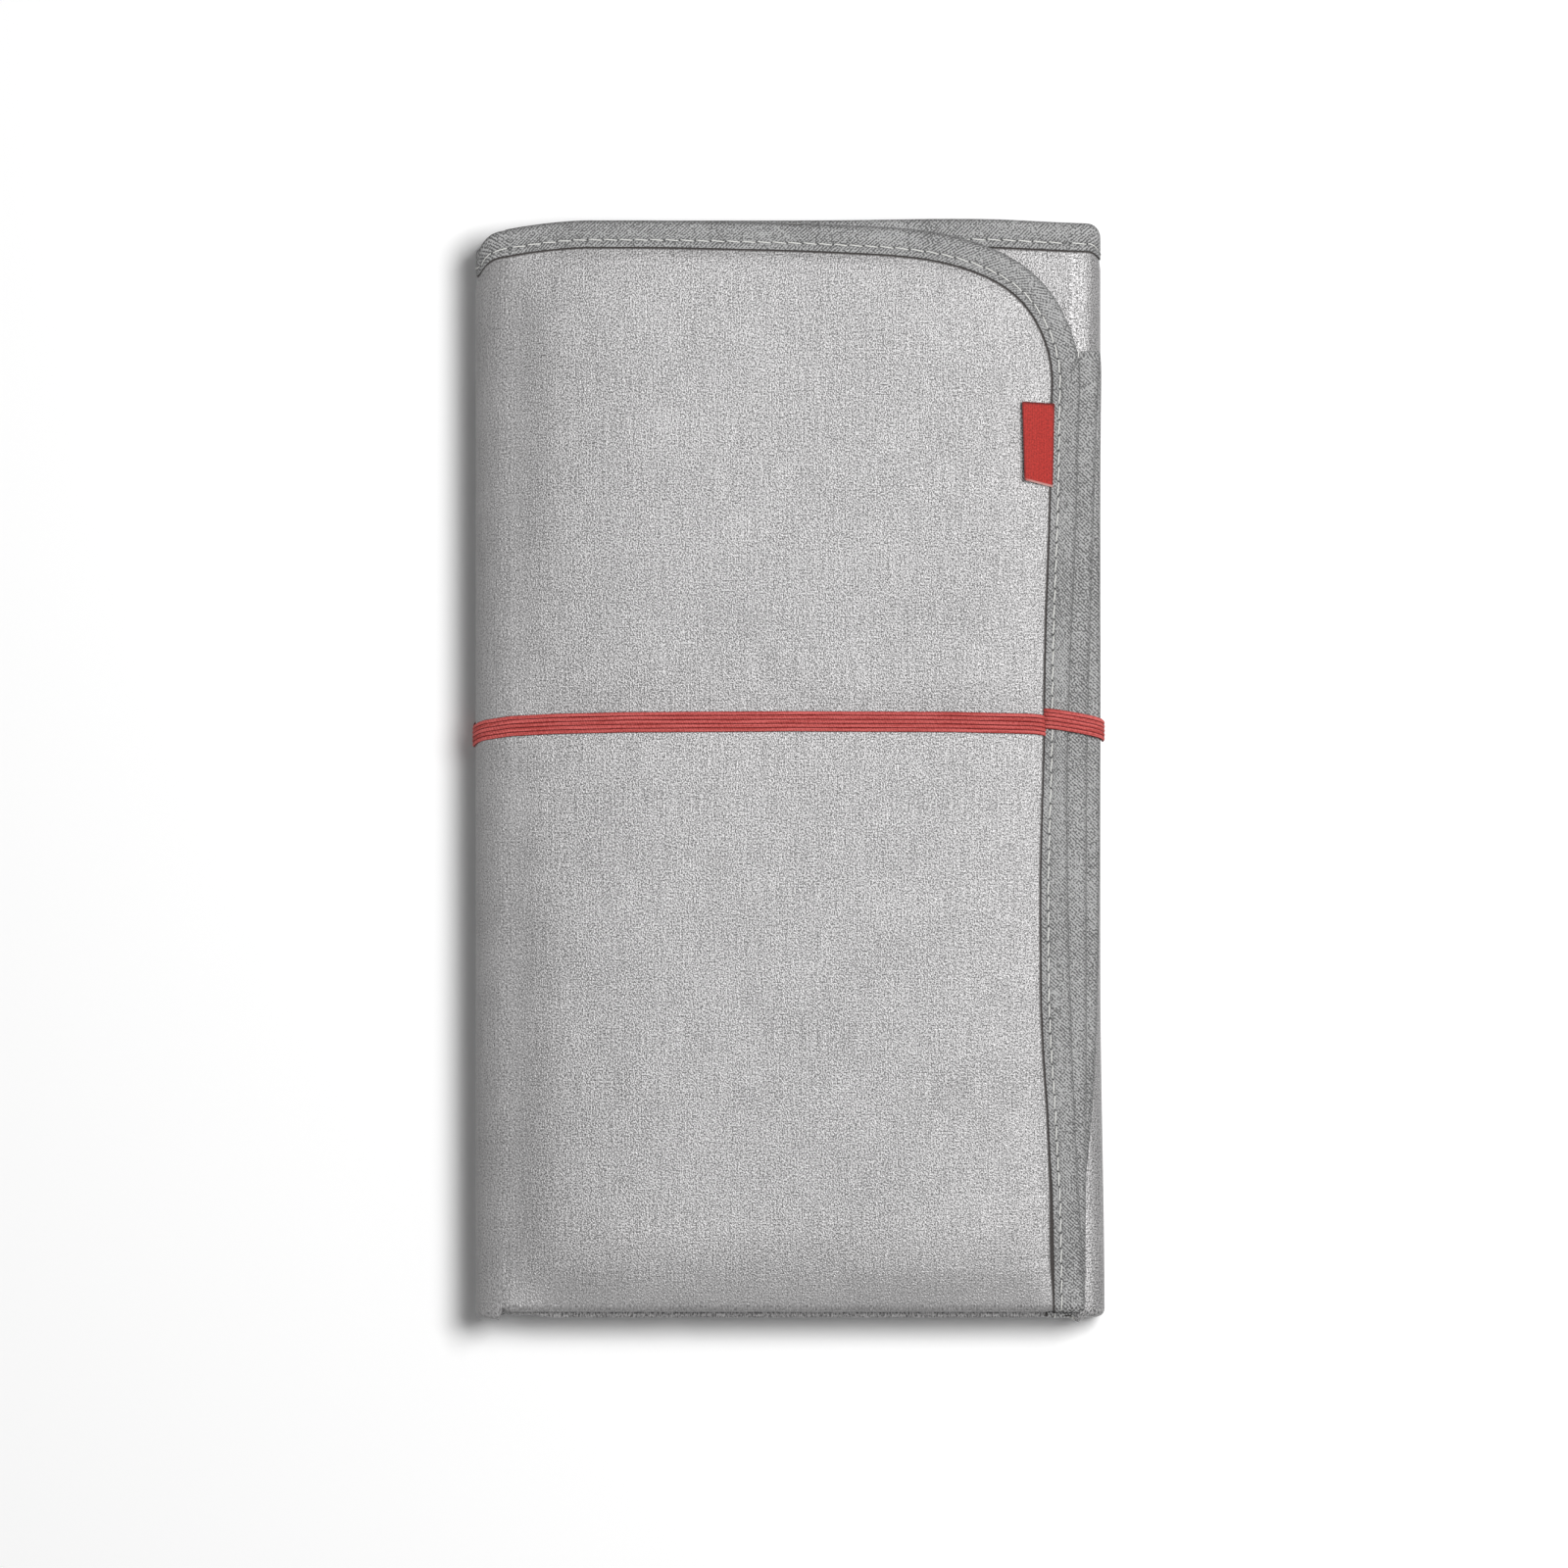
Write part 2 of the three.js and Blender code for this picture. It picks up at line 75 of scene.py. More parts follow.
# The elastic runs in a groove under the packet, and the packet has a gap of that depth over these plies
ELASTIC_Y = 13.4
GROOVE_DEPTH = 1.05
GROOVE_FLAT = 3.9
GROOVE_SLOPE = 2.4
GROOVE_ROWS = (-7.4, -6.3, -5.1, -3.9, 0.0, 3.9, 5.1, 6.3, 7.4)
LOOSE_ABOVE = (0, 6, 8)
# Each panel's plies A to D by their number from the table up, and the side where it is bound
PANELS = {"front": (11, 10, 9, 8), "middle": (4, 5, 6, 7), "back": (3, 2, 1, 0)}
FREE_SIDE = {"front": 1, "middle": 0, "back": -1}
# The folds' lines, the panels they join, and the power that squares their half circles off
FOLD_X = 85.6
FOLDS = {
    "left_fold": {"side": -1, "z": 18.85, "power": 0.85, "upper": "front", "lower": "middle"},
    "right_fold": {"side": 1, "z": 9.4, "power": 0.66, "upper": "middle", "lower": "back"},
}
PLY_NAMES = ("ply_a", "ply_b", "ply_c", "ply_d")
TOP_A = 167.6
TOP_D = 168.0
FRONT_FOLD_Y = -165.35
REAR_FOLD_Y = -165.425
INNER_FOLD_Y = 125.95
# The levels between which the front panel lies, where the panels end, and their mean reach to a bound side
FRONT_BASE = 18.85
FACE_TOP = 28.25
PANEL_END = 85.57

# The bound side edges of plies A to D: how far they wander inside the packet's side, from top to bottom
EDGE_WANDER = 11.0
EDGE_SHARES = (
    (0.61, 0.73, 0.99, 0.87, 0.55),
    (0.05, 0.28, 0.47, 0.49, 0.55),
    (0.05, 0.12, 0.12, 0.25, 0.79),
    (0.75, 0.76, 0.76, 0.77, 0.79),
)
# The bound corner on the flat sheet: x, and the run below the top edge
CORNER = (
    (-40.0, 0.0), (4.0, 0.9), (31.5, 2.1), (43.4, 3.3), (53.2, 5.4), (61.0, 8.0), (66.8, 10.6),
    (72.8, 14.3), (77.8, 18.9), (82.3, 25.0), (85.6, 31.4), (88.2, 39.4), (89.2, 47.0),
)
CORNER_END = 56.0
# The binding's width as a share of the set one, by the run along the bound edge from the left fold
SEWN_WIDTHS = (
    (0.0, 0.93), (60.0, 0.94), (110.0, 0.96), (160.0, 0.99), (195.0, 0.98), (227.0, 0.94), (270.0, 0.93),
    (300.0, 0.86), (309.0, 0.83), (322.0, 0.85), (350.0, 0.96), (390.0, 1.05), (405.0, 1.02), (420.0, 0.96),
    (450.0, 0.94), (480.0, 1.03), (500.0, 1.04), (560.0, 1.0),
)

# The layers of one ply over its middle, squeezed where the binding holds them, and the rows of points there
SQUEEZE_START = 8.8
SQUEEZE_END = 11.8
SQUEEZED_WADDING = 0.3
FULL_WADDING = 0.65
LAYER_GAP = 0.05
CLOTH = 0.3
TUCKED = 1.0
EDGE_ROWS = (TUCKED, 8.2, 8.7, 9.2, 9.8, 10.6, 11.4, 12.2)
LIP_TO_STITCH = 2.0
LABEL_WIDTH = 9.6
LABEL_LENGTH = 25.4

MM = 0.001
FULL_TURN = 2 * np.pi
ACROSS = np.pi / 2
BIAS = np.pi / 4
# Near black: the binding's painted shade at its outer edge, and its needle holes
NEAR_BLACK = (0.03, 0.03, 0.03)

# The names of the UV map and of the points' marks: the distance from the stitches or past the binding's lip,
# the distance from an edge, the height of the elastic's ribs and the label's raw ends
UV_NAME = "cloth"
SEAM_NAME = "seam"
EDGE_NAME = "edge"
RIB_NAME = "rib"
RAW_NAME = "raw"


def mm(value):
    """A size of the panel in metres, as millimetres."""
    return value / MM


def smooth(value):
    """The smooth step 3s^2 - 2s^3 of a share s that is held from 0 to 1."""
    share = np.clip(value, 0.0, 1.0)
    return share * share * (3.0 - 2.0 * share)


def bell(value):
    """The bell curve exp(-v^2)."""
    return np.exp(-np.square(value))


def spline(knots, share):
    """A smooth curve through evenly spaced knots: between two of them it is the cubic that has at each knot
    half the difference of that knot's neighbours as its slope."""
    knots = np.asarray(knots, float)
    last = len(knots) - 1
    at = np.clip(share, 0.0, 1.0) * last
    i = np.minimum(at.astype(int), last - 1)
    f = at - i
    before, start, end, after = (knots[np.clip(i + k, 0, last)] for k in (-1, 0, 1, 2))
    v0, v1 = (end - before) / 2, (after - start) / 2
    return (2 * start - 2 * end + v0 + v1) * f**3 + (3 * end - 3 * start - 2 * v0 - v1) * f**2 + v0 * f + start


def stacked(*parts):
    """Arrays stretched to one shape and set side by side as the last axis."""
    return np.stack(np.broadcast_arrays(*parts), axis=-1)


def path_length(path):
    """The length along a path at each of its points: the sum of the straight steps up to there."""
    return np.concatenate([[0.0], np.cumsum(np.linalg.norm(np.diff(path, axis=0), axis=1))])


def even_path(points, step, blur):
    """Points at even steps along a polyline, then blurred with a bell-shaped weight of that width, with the
    path carried on straight past both ends so that they stay where they are."""
    points = np.asarray(points, float)
    length = path_length(points)
    count = max(int(round(length[-1] / step)), 2)
    at = np.linspace(0.0, length[-1], count + 1)
    path = stacked(*(np.interp(at, length, column) for column in points.T))
    reach = max(int(3 * blur / step), 1)
    weights = bell(np.arange(-reach, reach + 1) * step / (blur * 1.4))
    weights /= weights.sum()
    ahead = 2 * path[0] - path[reach:0:-1]
    behind = 2 * path[-1] - path[-2 : -reach - 2 : -1]
    wide = np.concatenate([ahead, path, behind])
    return stacked(*(np.convolve(column, weights, mode="valid") for column in wide.T))


def square_to(path):
    """The direction square to a flat path at each of its points, on the left as it goes."""
    along = np.gradient(path, axis=0)
    along /= np.linalg.norm(along, axis=1, keepdims=True)
    return stacked(-along[:, 1], along[:, 0])


def ripples(x, y, seed, longest, shortest):
    """A soft uneven field from -1 to 1: seven waves of random directions, phases and lengths, added up."""
    chance = np.random.default_rng(seed)
    total = 0.0
    for _ in range(7):
        turn, phase = chance.uniform(0, np.pi), chance.uniform(0, FULL_TURN)
        wave = FULL_TURN / chance.uniform(shortest, longest)
        total = total + np.sin(wave * (x * np.cos(turn) + y * np.sin(turn)) + phase)
    return total / 7


# The folded way of the sheet


def ply_level(number):
    """The height of the middle of a ply, counted up from the table."""
    looser = sum(number > k for k in LOOSE_ABOVE)
    return PLY_HALF + number * PLY_PITCH + looser * GROOVE_DEPTH


def groove_rise(y):
    """How far the lowest ply rises over the elastic: flat over it, with a slope on either side."""
    away = np.abs(np.asarray(y, float) - ELASTIC_Y)
    return GROOVE_DEPTH * np.clip((GROOVE_FLAT + GROOVE_SLOPE - away) / GROOVE_SLOPE, 0.0, 1.0)


def edge_x(ply, y):
    """Where the bound side edge of a ply lies at height y; ply may be a fraction between two plies."""
    down = np.clip((HALF_HEIGHT - y) / (2 * HALF_HEIGHT), 0.0, 1.0)
    every = np.stack([HALF_WIDTH - EDGE_WANDER * spline(shares, down) for shares in EDGE_SHARES])
    lower = np.clip(np.floor(ply).astype(int), 0, 2)
    fraction = np.clip(ply - lower, 0.0, 1.0)
    first = np.take_along_axis(every, lower[None], axis=0)[0]
    second = np.take_along_axis(every, lower[None] + 1, axis=0)[0]
    return first + (second - first) * fraction


class FoldedWay:
    """The sheet's way through the four plies of one panel, in the plane of y and z: down ply A, round half a
    circle, up B, down C and up D. It is kept as points with their run t, ply and face direction."""

    def __init__(self, plies):
        self.level = [ply_level(number) for number in plies]
        self.face = 1.0 if self.level[0] > self.level[3] else -1.0
        self.lowest_ply = 3 if plies[3] == 0 else None
        foot = GROOVE_FLAT + GROOVE_SLOPE
        groove = ELASTIC_Y + np.array([-foot, -GROOVE_FLAT, GROOVE_FLAT, foot])
        parts = [
            self.straight(0, [TOP_A, FRONT_FOLD_Y]),
            self.bend(0, FRONT_FOLD_Y, -1.0, 1.0),
            self.straight(1, [FRONT_FOLD_Y, INNER_FOLD_Y]),
            self.bend(1, INNER_FOLD_Y, 1.0, -1.0),
            self.straight(2, [INNER_FOLD_Y, REAR_FOLD_Y]),
            self.bend(2, REAR_FOLD_Y, -1.0, 1.0),
            self.straight(3, [REAR_FOLD_Y, *groove, TOP_D]),
        ]
        self.y, self.z, self.ny, self.nz, self.ply = np.concatenate(parts).T
        self.t = path_length(stacked(self.y, self.z))
        starts = np.cumsum([0] + [len(part) for part in parts])
        self.turns = [(self.t[starts[k] - 1], self.t[starts[k + 1]]) for k in (1, 3, 5)]
        self.total = self.t[-1]

    def straight(self, ply, heights):
        """The points of a flat ply at the given heights."""
        y = np.array(heights, float)
        rise = groove_rise(y) if ply == self.lowest_ply else 0 * y
        facing = self.face * (-1.0) ** ply
        return stacked(y, self.level[ply] + rise, 0.0, facing, ply)

    def bend(self, ply, middle, outward, face_outside):
        """Half a circle from one ply to the next, without its two ends."""
        angle = np.linspace(0.0, np.pi, 15)[1:-1]
        radius = (self.level[ply] - self.level[ply + 1]) / 2
        y = middle + outward * abs(radius) * np.sin(angle)
        z = (self.level[ply] + self.level[ply + 1]) / 2 + radius * np.cos(angle)
        ny = face_outside * outward * np.sin(angle)
        nz = face_outside * np.sign(radius) * np.cos(angle)
        return stacked(y, z, ny, nz, ply + angle / np.pi)

    def at(self, t):
        """The y, z and face direction at the runs t."""
        y, z, ny, nz = (np.interp(t, self.t, values) for values in (self.y, self.z, self.ny, self.nz))
        size = np.maximum(np.hypot(ny, nz), 1e-6)
        return y, z, ny / size, nz / size

    def edge(self, t):
        """The x of the bound side edge at the runs t."""
        return edge_x(np.interp(t, self.t, self.ply), np.interp(t, self.t, self.y))


WAYS = {name: FoldedWay(plies) for name, plies in PANELS.items()}


def loft(x, y):
    """The height of the soft packet as a share of the square one's. It falls by the square of the way past a
    line near each side, the top and the bottom, and swells away from the elastic. At the folds it depends on
    x alone."""
    left = np.clip((-38.0 - x) / 57.0, 0.0, 1.0)
    right = np.clip((x - 46.0) / 50.0, 0.0, 1.0)
    top = np.clip((y - 126.0) / 42.0, 0.0, 1.0)
    bottom = np.clip((-140.0 - y) / 28.0, 0.0, 1.0)
    from_elastic = y - ELASTIC_Y
    swell = 0.035 * (1.0 - bell(from_elastic / 60.0)) - 0.014 * bell(from_elastic / 9.0)
    free = 1.0 - smooth((np.abs(x) - 70.0) / (FOLD_X - 70.0))
    return 1.0 - 0.15 * left**2 - 0.11 * right**2 + free * (swell - 0.11 * top**2 - 0.1 * bottom**2)


def hang(x, y, z):
    """How far a point of the square packet lies lower down the table in the soft one. The bound top edge
    hangs by powers of the way past a line near the left fold, and under the front panel near the right one.
    The lower folds are drawn up instead: the front's evenly, the others unevenly, and more at the slit beside
    the front's left corner, which hangs."""
    under_front = 1.0 - smooth((z - 18.9) / 0.9)
    left = 3.0 * np.clip((-61.5 - x) / 26.5, 0.0, 1.4) ** 1.7 + 3.9 * np.clip((-87.2 - x) / 6.5, 0.0, 1.03) ** 3
    right = 0.9 * smooth((x - 60.0) / 34.0) + 3.0 * np.clip((x - 90.5) / 4.6, 0.0, 1.1) ** 2.5
    right = (right - 0.5 * bell((x - 50.0) / 26.0)) * under_front
    at_top = left * smooth((y - 50.0) / 90.0) + right * smooth((y - 110.0) / 50.0)

    front = smooth((z - 21.6) / 1.8)
    slit = bell((x + 87.6) / 0.8)
    others = -0.4 + 0.75 * (1.0 - smooth((x + 77.0) / 1.5)) + 0.8 * bell((x + 28.3) / 1.2)
    others = others - 1.5 * bell((x - 88.4) / 0.7) * under_front
    drawn_up = front * (0.9 + 0.9 * slit) + (1.0 - front) * (others + 1.3 * slit)
    corner = 1.0 - smooth((x + 88.9) / 1.0)
    return at_top - smooth((-135.0 - y) / 25.0) * (drawn_up * (1.0 - corner) - 1.3 * corner)


def bulge(x, y):
    """What is added to x past the folds' lines, by smooth steps of x: both sides stand out, the left one the
    same all the way down, and the right one most of all at its foot."""
    foot = smooth((-60.0 - y) / 108.0) * smooth((x - 88.0) / 7.0)
    return 0.5 * smooth((x - FOLD_X) / 9.0) - 1.15 * smooth((-FOLD_X - x) / 9.0) + 1.3 * foot


def settled(x, y, z):
    """Where a point of the square packet comes to lie in the soft one. The front panel's plies take up all of
    the loft, each by its share of their height, so that the panels below them keep their levels and open
    flat."""
    thick = FACE_TOP - FRONT_BASE
    in_front = np.clip(z - FRONT_BASE, 0.0, thick) * (FACE_TOP * loft(x, y) - FRONT_BASE) / thick
    height = np.minimum(z, FRONT_BASE) + in_front + np.maximum(z - FACE_TOP, 0.0)
    return stacked(x + bulge(x, y), y - hang(x, y, z), height)


def on_panel(panel):
    """A function that carries the sheet's x, run and height over the middle onto a flat panel."""
    way = WAYS[panel]

    def place(x, t, w):
        y, z, ny, nz = way.at(t)
        return settled(x, y + ny * w, z + nz * w)

    return place


def on_fold(name):
    """A function that carries an angle, run and height over the middle onto a fold: the way of the upper
    panel is turned about the fold's line, from -90 degrees at the lower panel to 90 at the upper one, on a
    half circle that is a little squared off, as a power below 1 of the cosine and of the sine."""
    fold = FOLDS[name]
    way = WAYS[fold["upper"]]
    power = fold["power"]

    def place(angle, t, w):
        y, z, ny, nz = way.at(t)
        rise = 0.0
        if name == "right_fold":
            outer_ply = np.interp(t, way.t, way.ply) > 2.5
            rise = groove_rise(y) * (1.0 - smooth((angle + np.pi / 2) / 1.3)) * outer_ply
        radius = z - fold["z"] + nz * w - rise
        x = fold["side"] * (FOLD_X + radius * np.abs(np.cos(angle)) ** power)
        height = radius * np.sign(angle) * np.abs(np.sin(angle)) ** power
        return settled(x, y + ny * w, fold["z"] + height)

    return place


# The bound outline on the flat sheet


class Outline:
    """The bound edge of a panel on the flat sheet: even points with their inward directions, the width of
    the binding there, and the distance of any place on the sheet from it."""

    def __init__(self, points, side):
        self.path = even_path(points, step=1.1, blur=3.5)
        self.inward = square_to(self.path) * side
        self.length = path_length(self.path)

    def width(self, pad):
        """The binding's width: narrow under the elastic and uneven elsewhere, as it was sewn."""
        runs, widths = np.array(SEWN_WIDTHS).T
        return mm(pad.binding_width) * np.interp(self.length, runs, widths)

    def distance(self, x, t, pad):
        """The distance of places on the sheet from the nearest point of the edge, and past the lip of the
        binding there: the least length to the edge's segments, a few thousand places at a time."""
        coarse = self.path[::3]
        starts, ends = coarse[:-1], coarse[1:]
        run = ends - starts
        widths = self.width(pad)[::3][:-1]
        places = stacked(np.ravel(x), np.ravel(t))
        nearest, lip = np.empty(len(places)), np.empty(len(places))
        for first in range(0, len(places), 4000):
            part = places[first : first + 4000, None] - starts
            share = np.clip((part * run).sum(-1) / (run * run).sum(-1), 0.0, 1.0)
            away = np.linalg.norm(part - share[..., None] * run, axis=-1)
            which = away.argmin(axis=1)
            nearest[first : first + 4000] = away[np.arange(len(away)), which]
            lip[first : first + 4000] = widths[which]
        shape = np.shape(x)
        return nearest.reshape(shape), (nearest - lip).reshape(shape)


def side_outline(panel):
    """The outline of a panel with a bound side: along ply A's top, round its corner, down and up the side
    edges of the folded plies, round ply D's corner and back along its top."""
    way, side = WAYS[panel], FREE_SIDE[panel]
    runs = np.arange(CORNER_END, way.total - CORNER_END, 3.0)
    down_side = stacked(way.edge(runs), runs)
    corner = np.array(CORNER)
    first = np.concatenate([[[-PANEL_END, 0.0]], corner])
    last = first[::-1] * [1.0, -1.0] + [0.0, way.total]
    points = np.concatenate([first, down_side, last])
    return Outline(points * [side, 1.0], side)


OUTLINES = {name: side_outline(name) for name in ("front", "back")}


# Meshes


def new_piece(name, points, faces, finish, uv=None, marks=None, sharp=0.9):
    """A mesh object from points in millimetres and faces as index arrays, one array for each number of
    corners, turned so that its faces point outwards, with the sheet's own coordinates as its UV map and
    other numbers of its points, the marks, as attributes."""
    mesh = bpy.data.meshes.new(name)
    points = np.asarray(points, float).reshape(-1, 3) * MM
    mesh.from_pydata(points.tolist(), [], [face for group in faces for face in np.asarray(group).tolist()])
    mesh.calc_loop_triangles()
    corners = np.empty(len(mesh.loop_triangles) * 3, np.int32)
    mesh.loop_triangles.foreach_get("vertices", corners)
    a, b, c = (points[corners[k::3]] for k in range(3))
    if np.einsum("ij,ij->", a, np.cross(b, c)) < 0:
        mesh.flip_normals()
    if uv is not None:
        loops = np.empty(len(mesh.loops), np.int32)
        mesh.loops.foreach_get("vertex_index", loops)
        layer = mesh.uv_layers.new(name=UV_NAME)
        flat = (np.asarray(uv, float).reshape(-1, 2) * MM)[loops]
        layer.data.foreach_set("uv", flat.astype(np.float32).ravel())
    for mark, values in (marks or {}).items():
        attribute = mesh.attributes.new(mark, "FLOAT", "POINT")
        attribute.data.foreach_set("value", np.asarray(values, np.float32).ravel())
    mesh.shade_smooth()
    mesh.set_sharp_from_angle(angle=sharp)
    mesh.materials.append(finish)
    piece = bpy.data.objects.new(name, mesh)
    bpy.context.scene.collection.objects.link(piece)
    return piece


def grid_quads(rows, columns, around=False):
    """The quads of a grid of points, as index arrays; around joins the last column to the first."""
    index = np.arange(rows * columns).reshape(rows, columns)
    if around:
        index = np.concatenate([index, index[:, :1]], axis=1)
    corners = (index[:-1, :-1], index[1:, :-1], index[1:, 1:], index[:-1, 1:])
    return stacked(*corners).reshape(-1, 4)


def slab_piece(name, low, high, finish, uv, seam):
    """A closed sheet between two grids of points: the upper grid, the lower one and a rim round both."""
    rows, columns = low.shape[:2]
    count = rows * columns
    index = np.arange(count).reshape(rows, columns)
    upper = grid_quads(rows, columns)
    lower = upper[:, ::-1] + count
    rim = np.concatenate([index[0, :-1], index[:-1, -1], index[-1, :0:-1], index[:0:-1, 0]])
    ahead = np.roll(rim, -1)
    wall = stacked(rim, ahead, ahead + count, rim + count)
    points = np.concatenate([high.reshape(-1, 3), low.reshape(-1, 3)])
    both = np.concatenate([uv.reshape(-1, 2)] * 2)
    marks = {SEAM_NAME: np.concatenate([seam.ravel()] * 2)}
    return new_piece(name, points, [np.concatenate([upper, lower, wall])], finish, both, marks)


def swept_piece(name, rings, finish, uv, marks=None, sharp=0.9):
    """A closed bar through rings of points, one section after the other, with a cap at either end."""
    rows, columns = rings.shape[:2]
    sides = grid_quads(rows, columns, around=True)
    caps = np.stack([np.arange(columns)[::-1], np.arange(columns) + (rows - 1) * columns])
    return new_piece(name, rings, [sides, caps], finish, uv, marks, sharp)


# Shader maths


class Value:
    """A socket of a material's nodes. Arithmetic with it adds Math nodes."""

    def __init__(self, finish, socket):
        self.finish = finish
        self.socket = socket

    def maths(self, operation, *others, swap=False):
        values = (others[0], self) if swap else (self, *others)
        return self.finish.node("Math", {"operation": operation}, *values)

    def __add__(self, other):
        return self.maths("ADD", other)

    def __sub__(self, other):
        return self.maths("SUBTRACT", other)

    def __rsub__(self, other):
        return self.maths("SUBTRACT", other, swap=True)

    def __mul__(self, other):
        return self.maths("MULTIPLY", other)

    def __truediv__(self, other):
        return self.maths("DIVIDE", other)

    __radd__ = __add__
    __rmul__ = __mul__

    def clamped(self):
        """Held from 0 to 1."""
        return self.maths("MAXIMUM", 0.0).maths("MINIMUM", 1.0)

    def peak(self, middle, reach):
        """1 at the middle value, falling straight to 0 at that reach on either side."""
        return (1.0 - (self - middle).maths("ABSOLUTE") / reach).maths("MAXIMUM", 0.0)


class Finish:
    """A procedural material: one Principled shader and the nodes that feed it."""

    def __init__(self, name, **constants):
        self.material = bpy.data.materials.new(name)
        self.material.use_nodes = True
        self.tree = self.material.node_tree
        self.tree.nodes.clear()
        output = self.tree.nodes.new("ShaderNodeOutputMaterial")
        self.shader = self.tree.nodes.new("ShaderNodeBsdfPrincipled")
        self.tree.links.new(self.shader.outputs[0], output.inputs[0])
        for socket, value in constants.items():
            title = socket.replace("_", " ").title().replace("Ior", "IOR")
            self.feed(self.shader.inputs[title], value)

    def feed(self, socket, value):
        """Links a Value to a socket, or sets the socket's own number or colour."""
        if isinstance(value, Value):
            self.tree.links.new(value.socket, socket)
        elif isinstance(value, (int, float)):
            socket.default_value = value
        else:
            value = tuple(value)
            socket.default_value = value + (1.0,) * (len(socket.default_value) - len(value))

    def node(self, kind, settings=None, *values, output=0, **named):
        """A shader node of that kind, its settings set first and then its sockets, by order or by name."""
        node = self.tree.nodes.new("ShaderNode" + kind)
        for key, value in (settings or {}).items():
            if key == "stops":
                ramp = node.color_ramp
                while len(ramp.elements) < len(value):
                    ramp.elements.new(0.5)
                for element, (position, colour) in zip(ramp.elements, value):
                    element.position = position
                    element.color = (*colour, 1.0)
            else:
                setattr(node, key, value)
        for socket, value in zip(node.inputs, values):
            self.feed(socket, value)
        for key, value in named.items():
            self.feed(node.inputs[key], value)
        return Value(self, node.outputs[output])

    def sheet_place(self):
        """The piece's own coordinates on the flat sheet, in metres."""
        return self.node("UVMap", {"uv_map": UV_NAME})

    def part(self, place, axis):
        """One coordinate of a place, 0 to 2."""
        return self.node("SeparateXYZ", None, place, output=axis)

    def stretched(self, place, across, along, turn):
        """A place turned, and then scaled by two numbers."""
        turned = self.node("Mapping", {"vector_type": "POINT"}, Vector=place, Rotation=(0.0, 0.0, turn))
        return self.node("Mapping", {"vector_type": "POINT"}, Vector=turned, Scale=(across, along, 1.0))

    def noise(self, place, scale, detail=1.0, rough=0.5, turn=0.0):
        """A Noise texture's value over a place. A pair of scales, one for each way of the turned place,
        draws it out."""
        if isinstance(scale, tuple):
            place, scale = self.stretched(place, *scale, turn), 1.0
        named = {"Vector": place, "Scale": scale, "Detail": detail, "Roughness": rough}
        return self.node("TexNoise", {"noise_dimensions": "2D"}, **named)

    def threads(self, place, pitch, turn=0.0, uneven=0.35):
        """Parallel threads across the sheet: a sine of the turned coordinate, its phase moved by noise."""
        across = self.part(self.stretched(place, 1.0, 1.0, turn), 0)
        drift = self.noise(place, 1 / (14 * pitch), detail=2.0) * (uneven * FULL_TURN)
        return (across * (FULL_TURN / pitch) + drift).maths("SINE") * 0.5 + 0.5

    def attribute(self, name):
        """A float attribute of the mesh."""
        return self.node("Attribute", {"attribute_name": name}, output=2)

    def blend(self, amount, first, second):
        """A colour between two, by an amount from 0 to 1."""
        node = self.tree.nodes.new("ShaderNodeMix")
        node.data_type = "RGBA"
        for socket, value in ((0, amount), (6, first), (7, second)):
            self.feed(node.inputs[socket], value)
        return Value(self, node.outputs[2])

    def tones(self, amount, colour, dark, pale):
        """A colour between two shades of one, by an amount from 0 to 1."""
        return self.blend(amount, shade(colour, dark), shade(colour, pale))

    def surface(self, colour, rough=None, height=None, depth=0.0001, strength=0.5):
        """Feeds the shader's colour, its roughness and a bump of that depth in metres."""
        self.feed(self.shader.inputs["Base Color"], colour)
        if rough is not None:
            self.feed(self.shader.inputs["Roughness"], rough)
        if height is not None:
            bump = self.node("Bump", None, Strength=strength, Distance=depth, Height=height)
            self.feed(self.shader.inputs["Normal"], bump)
        return self.material


def shade(colour, factor):
    """A colour made darker or lighter by a factor."""
    return tuple(min(max(part * factor, 0.0), 1.0) for part in colour)


def face_finish(pad):
    """Silver metallised cotton: a fine plain weave whose upright threads show most, a sparkle painted into its
    colour and painted weaker, as shade, by the left fold and ply A's lower one, soft tones, and painted shade in
    the crease where it goes under the binding."""
    finish = Finish("silver_face_cloth", metallic=pad.silver_sheen)
    place = finish.sheet_place()
    warp = finish.noise(place, (1900.0, 70.0))
    weft = finish.noise(place, (110.0, 2000.0))
    grain = finish.noise(place, (2500.0, 2100.0), rough=0.7)
    sparkle = finish.noise(place, (2150.0, 1800.0), detail=0.0)
    upright = finish.threads(place, 0.00047, uneven=0.45)
    level = finish.threads(place, 0.0005, ACROSS, uneven=0.45)
    tone = finish.noise(place, (30.0, 55.0), detail=2.0)
    weave = (warp - 0.5) * 1.3 + (weft - 0.5) * 0.8 + (upright + level - 1.0) * 0.25
    glints = (grain - 0.5) * 6.0 + (sparkle - 0.5) * 3.4
    # Painted shade on the sparkle: it is made weaker by the left fold and ply A's lower fold, where the cloth
    # turns from the light.
    lighting_reach, lower_fold_run = 0.022, 0.336
    left = ((-0.068 - finish.part(place, 0)) / lighting_reach).clamped()
    lower = finish.part(place, 1).peak(lower_fold_run, lighting_reach) * 1.2
    sparkle_lighting = 1.0 - left.maths("MAXIMUM", lower.clamped()) * 0.6
    amount = ((weave + glints) * sparkle_lighting * pad.weave_contrast + (tone - 0.5) * 0.18 + 0.5).clamped()
    colour = finish.tones(amount, pad.silver_colour, 0.35, 1.65)
    # Painted shade: the face is darkened in the crease where it goes under the binding's lip.
    crease = ((1.15 - finish.attribute(SEAM_NAME)) / 0.6).clamped()
    colour = finish.blend(crease * 0.93, colour, (0.03, 0.024, 0.022))
    rough = (0.4 + (grain - 0.5) * 0.3 + crease * 0.4).clamped()
    return finish.surface(colour, rough, weave + glints, depth=0.00006, strength=0.4)


